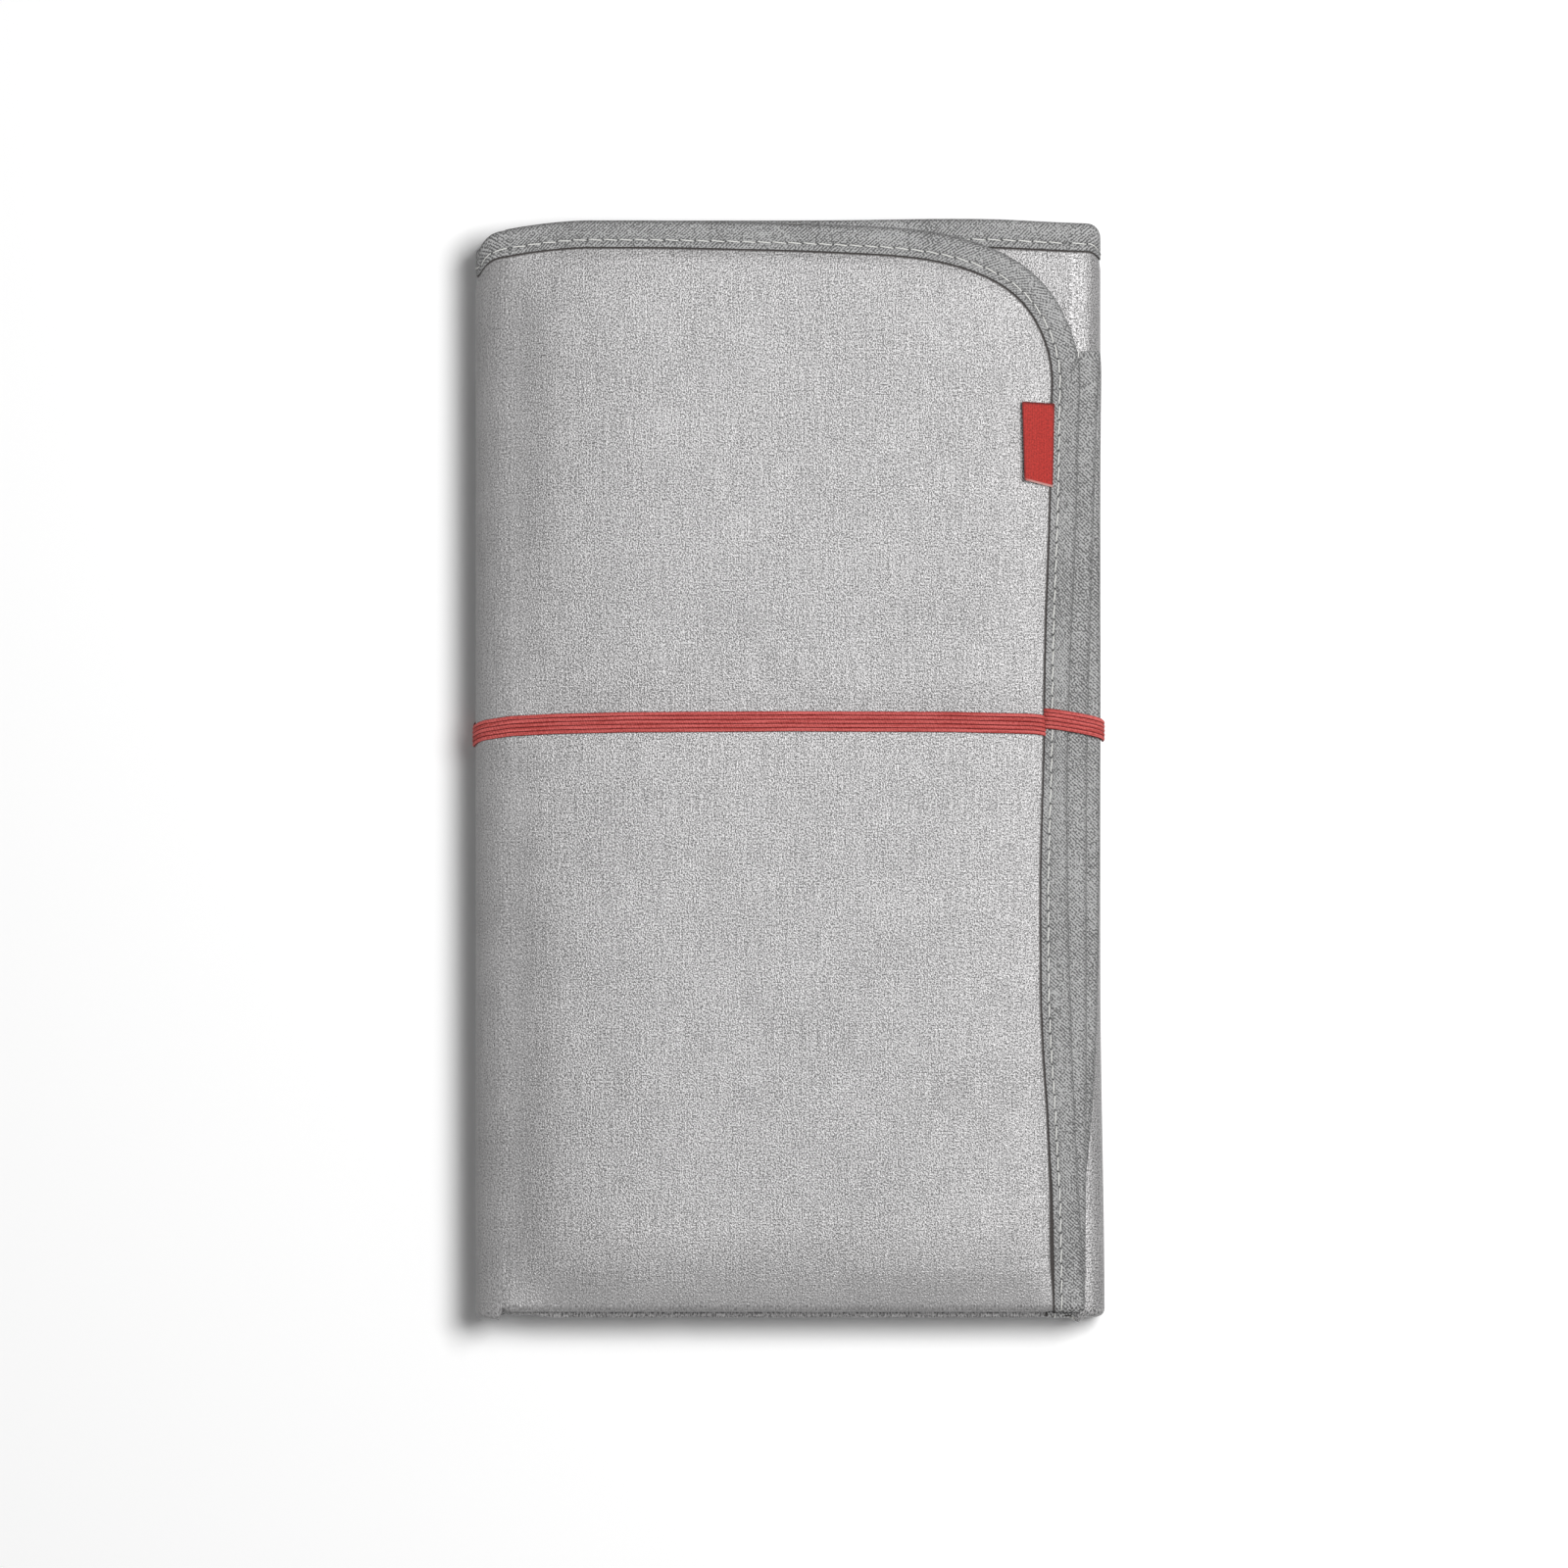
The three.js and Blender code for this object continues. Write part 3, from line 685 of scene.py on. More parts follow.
def backing_finish(pad):
    """Plain matt cotton: threads both ways with a little noise."""
    finish = Finish("plain_backing_cloth")
    place = finish.sheet_place()
    weave = finish.threads(place, 0.0008) + finish.threads(place, 0.0008, ACROSS)
    grain = finish.noise(place, 1700.0, detail=2.0)
    amount = (weave * 0.25 + (grain - 0.5) * 0.9 + 0.25).clamped()
    colour = finish.tones(amount, pad.backing_colour, 0.78, 1.18)
    return finish.surface(colour, 0.92, weave + grain, depth=0.0001)


def wadding_finish(pad):
    """Needled fibre: tangled noise at two scales."""
    finish = Finish("needled_wadding")
    place = finish.sheet_place()
    tangle = finish.noise(place, (700.0, 420.0), detail=4.0, rough=0.7, turn=0.6)
    clump = finish.noise(place, 160.0, detail=3.0)
    amount = (tangle * 0.7 + clump * 0.5 - 0.1).clamped()
    colour = finish.tones(amount, pad.wadding_colour, 0.8, 1.15)
    return finish.surface(colour, 1.0, tangle + clump, depth=0.0004, strength=0.6)


def binding_finish(pad):
    """Bias-cut cotton tape: the threads of a plain weave run both ways across the tape at 45 degrees. It has
    painted shade round its outer edge, where the nose turns down between the plies, is darker along the seam's
    stitch line, and has a needle hole between each stitch and the next."""
    finish = Finish("bias_binding")
    place = finish.sheet_place()
    one = finish.threads(place, 0.0008, BIAS, uneven=0.3)
    other = finish.threads(place, 0.00093, -BIAS, uneven=0.4)
    grain = finish.noise(place, 1900.0)
    slub = finish.noise(place, (1500.0, 420.0), turn=BIAS)
    tone = finish.noise(place, 45.0, detail=2.0)
    weave = one * 0.7 + other * 0.3
    amount = weave * 1.4 + (grain - 0.5) * 3.6 + (slub - 0.5) * 1.6 + (tone - 0.5) * 0.9 - 0.2
    colour = finish.tones(amount.clamped(), pad.binding_colour, 0.4, 1.6)
    from_edge, from_stitches = finish.attribute(EDGE_NAME), finish.attribute(SEAM_NAME)
    # Painted shade round the tape's nose at the outer edge, between the plies; the tape is also darker along its
    # stitch line.
    edge_shade_and_stitch_line = from_edge.peak(0.0, 1.3) * 0.45 + from_stitches.peak(0.0, 1.4) * 0.28
    colour = finish.blend(edge_shade_and_stitch_line, colour, NEAR_BLACK)
    phase = (finish.part(place, 0) / pad.stitch_length + 0.4).maths("FRACT")
    hole = phase.peak(0.5, 0.08) * from_stitches.peak(0.0, 0.45)
    colour = finish.blend((hole * 1.5).clamped(), colour, NEAR_BLACK)
    return finish.surface(colour, 0.88, weave + grain + slub, depth=0.00012, strength=0.55)


def thread_finish(pad):
    """Twisted sewing thread: fine slanting stripes across each stitch."""
    finish = Finish("sewing_thread")
    place = finish.sheet_place()
    twist = finish.threads(place, 0.0005, turn=0.6, uneven=0.1)
    colour = finish.tones(twist, pad.thread_colour, 0.78, 1.08)
    return finish.surface(colour, 0.7, twist, depth=0.00005)


def elastic_finish(pad):
    """Ribbed elastic: painted shade between its rubber cords and along its edges, with short cross stitches of
    yarn over each cord, and pale streaks that are partly the yarn's own tone and partly a painted sheen.
    """
    finish = Finish("ribbed_elastic", specular_ior_level=0.3)
    place = finish.sheet_place()
    rib = finish.attribute(RIB_NAME)
    yarn = finish.threads(place, 0.0007, turn=0.35, uneven=0.3)
    grain = finish.noise(place, (1100.0, 2600.0), detail=2.0)
    streak = finish.noise(place, (60.0, 2400.0), detail=2.0)
    amount = (yarn * 0.25 + (grain - 0.5) * 2.0 + (streak - 0.5) * 2.6 + 0.4).clamped()
    # The pale tone is whitened: partly the yarn's own colour, partly a painted sheen.
    pale = tuple(0.85 * part + 0.06 for part in shade(pad.elastic_colour, 1.35))
    colour = finish.blend(amount, shade(pad.elastic_colour, 0.75), pale)
    # Painted shade in the grooves between the cords and along the band's two edges.
    groove = ((0.62 - rib) / 0.35).clamped()
    colour = finish.blend(groove * 0.95, colour, (0.07, 0.003, 0.004))
    return finish.surface(colour, 0.8, yarn + grain, depth=0.00012, strength=0.6)


def label_finish(pad):
    """Woven tape left bare: close fine ribs along it, painted shade round its fold and along its sewn side under
    the binding, a dark line at its top end, and a paler raw end.
    """
    finish = Finish("woven_label", specular_ior_level=0.2)
    place = finish.sheet_place()
    ribs = finish.threads(place, 0.0005, uneven=0.1)
    grain = finish.noise(place, 1800.0, detail=2.0)
    amount = (ribs * 0.45 + (grain - 0.5) * 1.5 + 0.275).clamped()
    colour = finish.tones(amount, pad.label_colour, 0.6, 1.4)
    # Painted shade round the label's fold and along its sewn side under the binding, and a dark line at its top
    # end.
    label_edge = finish.attribute(EDGE_NAME).peak(0.0, 1.0)
    colour = finish.blend((label_edge * 1.3).clamped() * 0.85, colour, (0.06, 0.006, 0.006))
    raw_end = finish.attribute(RAW_NAME)
    colour = finish.blend((raw_end * 0.75).clamped(), colour, (0.55, 0.36, 0.33))
    return finish.surface(colour, 0.6, ribs + grain, depth=0.00008)


# The layers of the pad

LAYERS = {
    "face_cloth": lambda half: (half + LAYER_GAP, half + LAYER_GAP + CLOTH),
    "wadding": lambda half: (-half, half),
    "backing_cloth": lambda half: (-half - LAYER_GAP - CLOTH, -half - LAYER_GAP),
}


def layer_reach(layer, distance):
    """The underside and top of a layer over the ply's middle, squeezed near a bound edge."""
    fullness = smooth((distance - SQUEEZE_START) / (SQUEEZE_END - SQUEEZE_START))
    return LAYERS[layer](SQUEEZED_WADDING + (FULL_WADDING - SQUEEZED_WADDING) * fullness)


def run_rows(way, fine, coarse, cornered):
    """The runs at which a sheet has a row of points: close at the corners, at the squeezed edge, round the
    turns and at the groove, with the fine step on ply A and the coarse one on the others."""
    edge = np.array(EDGE_ROWS)
    if cornered:
        share = np.linspace(0.0, 1.0, 30)
        edge = np.concatenate([edge, TUCKED + (CORNER_END - TUCKED) * (1 - np.cos(share * np.pi / 2))])
    rows = [edge, way.total - edge]
    starts = [EDGE_ROWS[-1]] + [turn[1] for turn in way.turns]
    ends = [turn[0] for turn in way.turns] + [way.total - EDGE_ROWS[-1]]
    for ply, (start, end) in enumerate(zip(starts, ends)):
        step = fine if ply == 0 else coarse
        rows.append(np.linspace(start, end, max(int((end - start) / step), 2)))
    rows += [np.linspace(start, end, 12) for start, end in way.turns]
    if way.lowest_ply is not None:
        rows.append(way.total - TOP_D + ELASTIC_Y + np.array(GROOVE_ROWS))
    rows = np.unique(np.round(np.concatenate(rows), 3))
    return rows[np.concatenate([[True], np.diff(rows) > 0.06])]


def side_reach(outline, side, rows):
    """How far a sheet reaches under the binding in each row: the x of the outline moved inwards."""
    path = outline.path + outline.inward * TUCKED
    path = path[np.abs(outline.inward[:, 0]) > 0.03]
    order = np.argsort(path[:, 1])
    return np.interp(rows, path[order, 1], path[order, 0] * side)


def face_swell(x, y, seam, pad):
    """How far the silver face of ply A stands up from a flat one: soft hollows and swells, short puckers
    square to the binding that die away from it, more of them low on the right, a crease up from the lower
    left corner, and nothing at the elastic."""
    broad = ripples(x, y, seed=11, longest=110.0, shortest=45.0)
    fine = ripples(x, y, seed=12, longest=36.0, shortest=16.0)
    soft = 0.2 + broad * 0.3 + fine * 0.05
    along = np.where(y > 118.0, x, y)
    near = np.exp(-np.clip(seam - 0.5, 0.0, 60.0) / 7.5) * smooth((seam - 0.4) / 1.6)
    low_right = bell((y + 138.0) / 26.0) * smooth((x - 30.0) / 40.0)
    drift = ripples(x, y, seed=13, longest=30.0, shortest=9.0)
    uneven = np.abs(ripples(along, 0.0, seed=14, longest=70.0, shortest=20.0))
    pucker = np.sin(along * 1.5 + 2.2 * np.sin(along * 0.31) + drift * 3.0)
    pucker = pucker * near * (0.05 + 0.3 * low_right + 0.08 * uneven)
    off_crease = (x + 89.0) * 0.8 - (y + 166.5) * 0.6
    crease = 0.5 * bell(off_crease / 1.6) * smooth((-146.0 - y) / 14.0) * smooth((x + 88.0) / 5.0)
    height = soft + pucker + crease
    height = 0.5 * (height + np.sqrt(height**2 + 0.02))
    clear = 1.0 - bell((y - 14.0) / 6.5)
    return mm(pad.wrinkle_height) * height * clear * smooth((seam + 0.2) / 2.5)


def straight_seam(t, way, pad):
    """The distance from ply A's or D's straight top edge, whichever is nearer, and past the binding there."""
    on_a = t < way.total / 2
    distance = np.where(on_a, t, way.total - t)
    share = np.where(on_a, SEWN_WIDTHS[0][1], SEWN_WIDTHS[-1][1])
    return distance, distance - mm(pad.binding_width) * share


def panel_layer(panel, layer, finish, pad):
    """One layer of the pad through a whole panel, as a closed sheet on a grid of rows along the folded way
    and columns from the fold to the bound side."""
    way, side = WAYS[panel], FREE_SIDE[panel]
    shown = layer == "face_cloth"
    rows = run_rows(way, fine=1.7 if panel == "front" else 6.0, coarse=8.0, cornered=side != 0)
    count = 78 if panel == "front" else 60
    share = np.linspace(0.0, 1.0, count)
    if side == 0:
        x = np.broadcast_to(PANEL_END * (2 * share - 1), (len(rows), count))
        t = np.broadcast_to(rows[:, None], x.shape)
        distance, seam = straight_seam(t, way, pad)
    else:
        reach = side_reach(OUTLINES[panel], side, rows)[:, None]
        x = side * (-PANEL_END + (reach + PANEL_END) * (1 - (1 - share) ** 1.25))
        t = np.broadcast_to(rows[:, None], x.shape)
        distance, seam = OUTLINES[panel].distance(x, t, pad)
    low, high = layer_reach(layer, distance)
    if shown and panel == "front":
        y = way.at(t)[0]
        on_top = 1.0 - smooth((t - way.turns[0][0] + 12.0) / 12.0)
        at_fold = smooth((x + FOLD_X) / 9.0)
        swell = face_swell(x, y, seam, pad) * on_top * at_fold
        low, high = low + swell, high + swell
        # Painted shade: the dark crease under the binding is widened low on the right.
        seam = seam - 0.75 * bell((y + 146.0) / 20.0) * smooth(x / 60.0) * on_top
    place = on_panel(panel)
    uv = stacked(x, t)
    return slab_piece(f"{layer}_{panel}", place(x, t, low), place(x, t, high), finish, uv, seam)


def ply_runs(way, ply):
    """The first and last run of a ply, from the middle of one turn to the middle of the next."""
    middles = [sum(turn) / 2 for turn in way.turns]
    bounds = [TUCKED, *middles, way.total - TUCKED]
    return bounds[ply], bounds[ply + 1]


def fold_layer(name, ply, layer, finish, pad):
    """One layer of one ply round a fold, as a closed sheet on a grid of runs and angles."""
    fold = FOLDS[name]
    way = WAYS[fold["upper"]]
    first, last = ply_runs(way, ply)
    outer = ply == (0 if name == "left_fold" else 3)
    fine, coarse = 4.0 if outer else 12.0, 4.0 if outer and name == "right_fold" else 12.0
    rows = run_rows(way, fine, coarse, cornered=False)
    rows = np.unique(np.concatenate([[first], rows[(rows > first + 0.06) & (rows < last - 0.06)], [last]]))
    angles = np.linspace(-np.pi / 2, np.pi / 2, 33 if outer else 13)
    angle, t = np.broadcast_arrays(angles[None, :], rows[:, None])
    distance, seam = straight_seam(t, way, pad)
    low, high = layer_reach(layer, distance)
    place = on_fold(name)
    radius = abs(way.level[ply] - fold["z"])
    round_it = fold["side"] * (FOLD_X + radius * (np.pi / 2 - angle))
    uv = stacked(round_it, t)
    piece_name = f"{layer}_{name}_{PLY_NAMES[ply]}"
    piece = slab_piece(piece_name, place(angle, t, low), place(angle, t, high), finish, uv, seam)
    bend_with_fold(piece, name, ply)
    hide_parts(f"{name}_{PLY_NAMES[ply]}_{layer}")
    return piece


def bend_with_fold(piece, name, ply):
    """Bakes a fold piece's placing into its mesh. The heights of the inner side of the ply's half circle, below
    and above the fold's line, are worked out, but nothing uses them, and the piece follows neither panel."""
    fold = FOLDS[name]
    radius = abs(WAYS[fold["upper"]].level[ply] - fold["z"]) - PLY_HALF
    x = fold["side"] * FOLD_X
    start, end = (settled(x, -60.0, fold["z"] + reach)[2] * MM for reach in (-radius, radius))
    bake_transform(piece)


def make_layer(layer, finish, pad):
    """All of one layer: its three panels, which ride on their bodies, and its folds. Returns the panels'
    pieces and the folds' pieces by name, and all of them."""
    panels = {panel: panel_layer(panel, layer, finish, pad) for panel in PANELS}
    for panel, piece in panels.items():
        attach(piece, panel)
        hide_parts(f"{panel}_{layer}")
    folds = {name: [fold_layer(name, ply, layer, finish, pad) for ply in range(4)] for name in FOLDS}
    pieces = [*panels.values(), *folds["left_fold"], *folds["right_fold"]]
    return panels, folds, pieces


# The binding and its stitches


def binding_section(width):
    """The folded tape in section: distance from the bound edge and height over the ply's middle, as a
    closed loop round a rounded nose, with a turned-in lip and a dent under the stitches on either side."""
    stitch = width - LIP_TO_STITCH
    upper = [
        (width, 0.70), (width + 0.14, 0.84), (width - 0.02, 0.99), (width - 0.6, 1.04), (stitch + 0.55, 1.02),
        (stitch, 0.92), (stitch - 0.55, 1.02), (width / 2, 1.04), (1.5, 1.02), (0.6, 0.88), (0.14, 0.5),
    ]
    lower = [(distance, -height) for distance, height in reversed(upper)]
    inner = [(1.7, -0.70), (0.62, -0.52), (0.42, 0.0), (0.62, 0.52), (1.7, 0.70)]
    loop = [*upper, (0.0, 0.0), *lower, *inner]
    return np.stack([stacked(distance + 0 * width, height) for distance, height in loop], axis=1)


def sewn_run(stretch):
    """The real length along the stitch line of a stretch of the bound edge, at each of its points."""
    inset = stretch["width"] - LIP_TO_STITCH
    first, run = (stretch["path"] + stretch["inward"] * inset[:, None]).T
    return path_length(stretch["place"](first, run, 0 * first))


def binding_piece(stretch, finish):
    """The binding along a stretch: at each point of the path its section stands inwards from there on the
    sheet, and over the ply's middle."""
    section = binding_section(stretch["width"])
    distance, height = section[..., 0], section[..., 1]
    spots = stretch["path"][:, None] + stretch["inward"][:, None] * distance[..., None]
    rings = stretch["place"](spots[..., 0], spots[..., 1], height)
    round_section = path_length(section[len(section) // 2])
    uv = stacked(sewn_run(stretch)[:, None], round_section)
    from_stitches = np.abs(distance - (stretch["width"] - LIP_TO_STITCH)[:, None])
    marks = {SEAM_NAME: from_stitches, EDGE_NAME: distance}
    return swept_piece(f"binding_{stretch['name']}", rings, finish, uv, marks)


def stitch_piece(stretch, finish, pad):
    """A row of stitches along a stretch, on both sides of the pad: each one a short thread of six corners
    through seven rings, which rises out of the tape, lies on it at a slight slant and dips in again."""
    step, rings, corners = mm(pad.stitch_length), 7, 6
    real = sewn_run(stretch)
    middles = np.arange(step * 0.6, real[-1] - step * 0.4, step)
    lengthwise = np.linspace(-1.0, 1.0, rings)[None, :, None]
    at = middles[:, None, None] + lengthwise * step * 0.43
    turn = np.arange(corners) * FULL_TURN / corners
    thick = 0.19 * np.sqrt(1.0 - 0.6 * lengthwise**6)
    sideways = np.cos(turn) * thick + 0.16 * lengthwise
    up = 0.92 + 0.16 * (1.0 - lengthwise**6) + np.sin(turn) * thick * 0.8
    columns = (*stretch["path"].T, *stretch["inward"].T, stretch["width"] - LIP_TO_STITCH)
    first, run, to_first, to_run, inset = (np.interp(at, real, values) for values in columns)
    first, run = first + to_first * (inset + sideways), run + to_run * (inset + sideways)
    points = np.concatenate([stretch["place"](first, run, side * up) for side in (1, -1)])
    starts = (np.arange(len(points)) * rings * corners)[:, None, None]
    quads = (starts + grid_quads(rings, corners, around=True)[None]).reshape(-1, 4)
    round_one = np.arange(corners)
    caps = np.concatenate([starts[:, 0] + round_one[::-1], starts[:, 0] + (rings - 1) * corners + round_one])
    uv = stacked(at, turn * 0.2)
    return new_piece(f"stitches_{stretch['name']}", points, [quads, caps], finish, np.concatenate([uv, uv]))


def top_stretch(name, place, first, way, ply, pad):
    """A stretch of ply A's or D's straight top edge, along the sheet's first coordinate."""
    run, inward, end = (0.0, 1.0, 0) if ply == 0 else (way.total, -1.0, -1)
    return {
        "name": name, "place": place, "path": stacked(first, run), "inward": stacked(0.0 * first, inward),
        "width": 0.0 * first + mm(pad.binding_width) * SEWN_WIDTHS[end][1],
    }


def bound_stretches(pad):
    """Every stretch of the bound edge: its name, place function, path on the sheet by x, or the angle round a
    fold, and run, inward directions, width, the CAD node of its binding, and what carries it."""
    stretches = [
        {
            "name": f"{panel}_side", "place": on_panel(panel), "path": outline.path, "inward": outline.inward,
            "width": outline.width(pad), "node": f"{panel}_side_binding", "body": panel,
        }
        for panel, outline in OUTLINES.items()
    ]
    x = np.linspace(-PANEL_END, PANEL_END, 140)
    angle = np.linspace(np.pi / 2, -np.pi / 2, 41)
    for ply, letter in ((0, "a"), (3, "d")):
        top = top_stretch(f"middle_top_{letter}", on_panel("middle"), x, WAYS["middle"], ply, pad)
        stretches.append(top | {"node": f"middle_top_binding_{letter}", "body": "middle"})
        for name, fold in FOLDS.items():
            top = top_stretch(f"{name}_{letter}", on_fold(name), angle, WAYS[fold["upper"]], ply, pad)
            stretches.append(top | {"node": f"{name}_ply_{letter}_binding", "fold": name, "ply": ply})
    return stretches


def carry(piece, stretch):
    """Rides a piece of the bound edge on its body, or else bakes its placing into its mesh."""
    if "body" in stretch:
        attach(piece, stretch["body"])
    else:
        bend_with_fold(piece, stretch["fold"], stretch["ply"])


# The elastic loop and the label


def elastic_path():
    """The inner side of the loop, from the seam over the face, round the left fold, under the packet, round
    the right fold and over the bound edges back to the seam: straight lines and quarter circles, blurred."""

    def arc(x, z, radii, start, ys):
        """A quarter circle from an angle in degrees, through three values of y."""
        share = np.arange(13) / 12
        angle, radius = np.radians(start + 90 * share), np.interp(share, [0, 1], radii)
        return stacked(x + radius * np.cos(angle), np.interp(share, [0, 0.5, 1], ys), z + radius * np.sin(angle))

    first, second = (float(edge_x(np.array(ply), np.array(ELASTIC_Y))) for ply in (0.0, 1.0))
    seam = first - 6.9
    return even_path(np.concatenate([
        [(seam - 0.1, 12.7, 27.2), (seam - 0.3, 12.9, 27.6), (seam - 1.4, 13.3, 28.3)],
        [(seam - 4.0, 13.6, 28.5), (50.0, 14.2, 28.5)],
        [(0.0, 14.4, 28.5), (-50.0, 14.1, 28.5), (-72.0, 13.6, 28.5)],
        arc(-FOLD_X, FOLDS["left_fold"]["z"], (9.65, 9.65), 90, (12.9, 11.6, 9.6)),
        [(-FOLD_X - 9.65, 9.8, 10.0)],
        arc(-92.3, 3.9, (3.0, 3.0), 180, (10.6, 11.8, 12.8)),
        [(-80.0, 13.3, 0.9), (0.0, 13.4, 0.9), (76.0, 13.3, 0.9)],
        arc(FOLD_X, FOLDS["right_fold"]["z"], (8.5, 9.7), -90, (13.1, 12.4, 11.6)),
        [(95.3, 11.2, 20.0), (95.4, 11.6, 23.4), (94.6, 12.3, 25.3)],
        [(second + 0.8, 13.1, 27.0), (first + 1.2, 14.2, 28.5), (seam + 3.0, 15.0, 28.85)],
        [(seam + 1.0, 15.2, 28.95), (seam + 0.1, 15.25, 28.6), (seam - 0.1, 15.3, 27.9)],
    ]), step=0.8, blur=0.5)


def elastic_band(pad, finish):
    """The elastic loop: a ribbed flat section, half a sine to each cord, carried along the path with its
    outer side away from the packet. The rib height is kept for the finish."""
    path = elastic_path()
    flat = path[:, [0, 2]]
    outward = -square_to(flat)
    width, thick = mm(pad.elastic_width), 0.8
    across = np.linspace(-0.5, 0.5, pad.elastic_cords * 8 + 1)
    rib = np.abs(np.sin((across + 0.5) * np.pi * pad.elastic_cords)) ** 0.6
    rounded = 1.0 - 0.35 * np.abs(2 * across) ** 8
    outer = thick * (0.55 + 0.45 * rib) * rounded
    back = np.linspace(0.5, -0.5, 7)
    side = np.concatenate([across, back]) * width
    height = np.concatenate([outer, 0.04 + 0 * back])
    x = flat[:, None, 0] + outward[:, None, 0] * height
    z = flat[:, None, 1] + outward[:, None, 1] * height
    y = path[:, None, 1] + side + 0 * x
    rings = settled(x, y, z)
    uv = stacked(path_length(path)[:, None], side)
    ribs = np.broadcast_to(np.concatenate([rib, 0.6 + 0 * back]), x.shape)
    return swept_piece("elastic_band", rings, finish, uv, {RIB_NAME: ribs}, sharp=1.3)


def label_tape(pad, finish):
    """The side label: a flat loop of tape in section, two layers joined by a fold at the left, carried down
    the label's length. It is skewed as it was sewn, and lifts towards its folded side."""
    half, gap, nose_share = 0.36, 0.08, 0.036
    turn = np.radians(np.linspace(-90, -270, 9))
    nose = stacked(1.0 - nose_share + nose_share * np.cos(turn), half * np.sin(turn))
    outer_low = [(share, -half) for share in np.linspace(0.0, 0.96, 9)]
    outer_high = [(share, half) for share in np.linspace(0.96, 0.0, 9)]
    inner = [(0.0, gap), (0.5, gap), (0.95, gap), (0.95, -gap), (0.5, -gap), (0.0, -gap)]
    section = np.concatenate([outer_low, nose[1:-1], outer_high, inner])
    share, height = section.T
    down = (0.5 - 0.5 * np.cos(np.linspace(0.0, np.pi, 36)))[:, None]
    top, foot = 111.7 + 0.6 * share, 86.0 + 2.3 * share
    y = top + (foot - top) * down
    seam = edge_x(0 * y, y) - mm(pad.binding_width) * 0.94 + 0.35
    length = 10.4 - 1.3 * down
    x = seam - length * share
    lift = share**1.4 * (1.9 + 0.8 * down + 0.2 * np.sin(down * 7.0))
    z = FACE_TOP + 0.28 + height + lift + 0.25 * np.sin(share * np.pi)
    rings = settled(x, y, z)
    uv = stacked(share * LABEL_WIDTH, down * LABEL_LENGTH)
    ends = smooth((down - 0.972) / 0.012) * (1.0 - smooth((share - 0.75) / 0.2))
    label_edge = np.minimum(np.minimum(length * (1.0 - share), length * share + 0.3), down * LABEL_LENGTH)
    return swept_piece("label_tape", rings, finish, uv, {RAW_NAME: ends, EDGE_NAME: label_edge})


# Settings


class PadClothSettings(bpy.types.PropertyGroup):
    """The cloths and the wadding of the pad."""

    silver_colour: FloatVectorProperty(
        name="Silver", description="Colour of the face cloth", subtype="COLOR", default=(0.298, 0.293, 0.294)
    )
    silver_sheen: FloatProperty(
        name="Sheen", description="Share of metal in the face cloth", subtype="FACTOR", default=0.32, min=0, max=1
    )
    weave_contrast: FloatProperty(
        name="Weave contrast", description="How much the threads of the face differ", default=0.41, min=0, max=2
    )
    wrinkle_height: FloatProperty(
        name="Wrinkle height", description="Height of the face's soft swells and puckers", unit="LENGTH",
        default=0.0009, min=0, max=0.002,
    )
    wadding_colour: FloatVectorProperty(
        name="Wadding", description="Colour of the wadding", subtype="COLOR", default=(0.79, 0.76, 0.70)
    )
    backing_colour: FloatVectorProperty(
        name="Backing", description="Colour of the backing cloth", subtype="COLOR", default=(0.48, 0.475, 0.46)
    )
    binding_colour: FloatVectorProperty(
        name="Binding", description="Colour of the edge binding", subtype="COLOR", default=(0.29, 0.29, 0.29)
    )
    binding_width: FloatProperty(
        name="Binding width", description="Width of the binding on the face", unit="LENGTH",
        default=0.0083, min=0.006, max=0.0086,
    )
    thread_colour: FloatVectorProperty(
        name="Thread", description="Colour of the stitches", subtype="COLOR", default=(0.8, 0.8, 0.77)
    )
    stitch_length: FloatProperty(
        name="Stitch length", description="Length from one stitch to the next", unit="LENGTH",
        default=0.0047, min=0.002, max=0.01,
    )
    elastic_colour: FloatVectorProperty(
        name="Elastic", description="Colour of the elastic loop", subtype="COLOR", default=(0.53, 0.07, 0.062)
    )
    elastic_width: FloatProperty(
        name="Elastic width", description="Width of the elastic loop", unit="LENGTH",
        default=0.0063, min=0.004, max=0.0066,
    )
    elastic_cords: IntProperty(
        name="Elastic cords", description="Number of rubber cords side by side", default=5, min=2, max=9
    )
    label_colour: FloatVectorProperty(
        name="Label", description="Colour of the bare side label", subtype="COLOR", default=(0.4, 0.03, 0.024)
    )


class PadStageSettings(bpy.types.PropertyGroup):
    """The light, the floor and the camera."""

    floor_colour: FloatVectorProperty(
        name="Floor", description="Colour of the floor", subtype="COLOR", default=(0.86, 0.86, 0.86)
    )
    key_power: FloatProperty(
        name="Key light", description="Power of the soft light at the upper right", unit="POWER",
        default=40.5, min=0, max=400,
    )
    key_size: FloatProperty(
        name="Key light size", description="Side of the square light", unit="LENGTH",
        default=0.82, min=0.05, max=3,
    )
    sky_strength: FloatProperty(
        name="Sky", description="Strength of the even light from all round", default=0.13, min=0, max=2
    )
    backdrop_strength: FloatProperty(
        name="Backdrop", description="How bright the camera and reflections see the sky",
        default=0.7, min=0, max=1,
    )
    view_width: FloatProperty(
        name="View width", description="Width that the camera sees at the pad's face", unit="LENGTH",
        default=0.48, min=0.1, max=3,
    )
    view_height: FloatProperty(
        name="Camera height", description="Height of the camera over the table", unit="LENGTH",
        default=6.0, min=0.5, max=20,
    )


# Operators


def settings():
    """The cloth settings of the scene."""
    return bpy.context.scene.ironing_pad


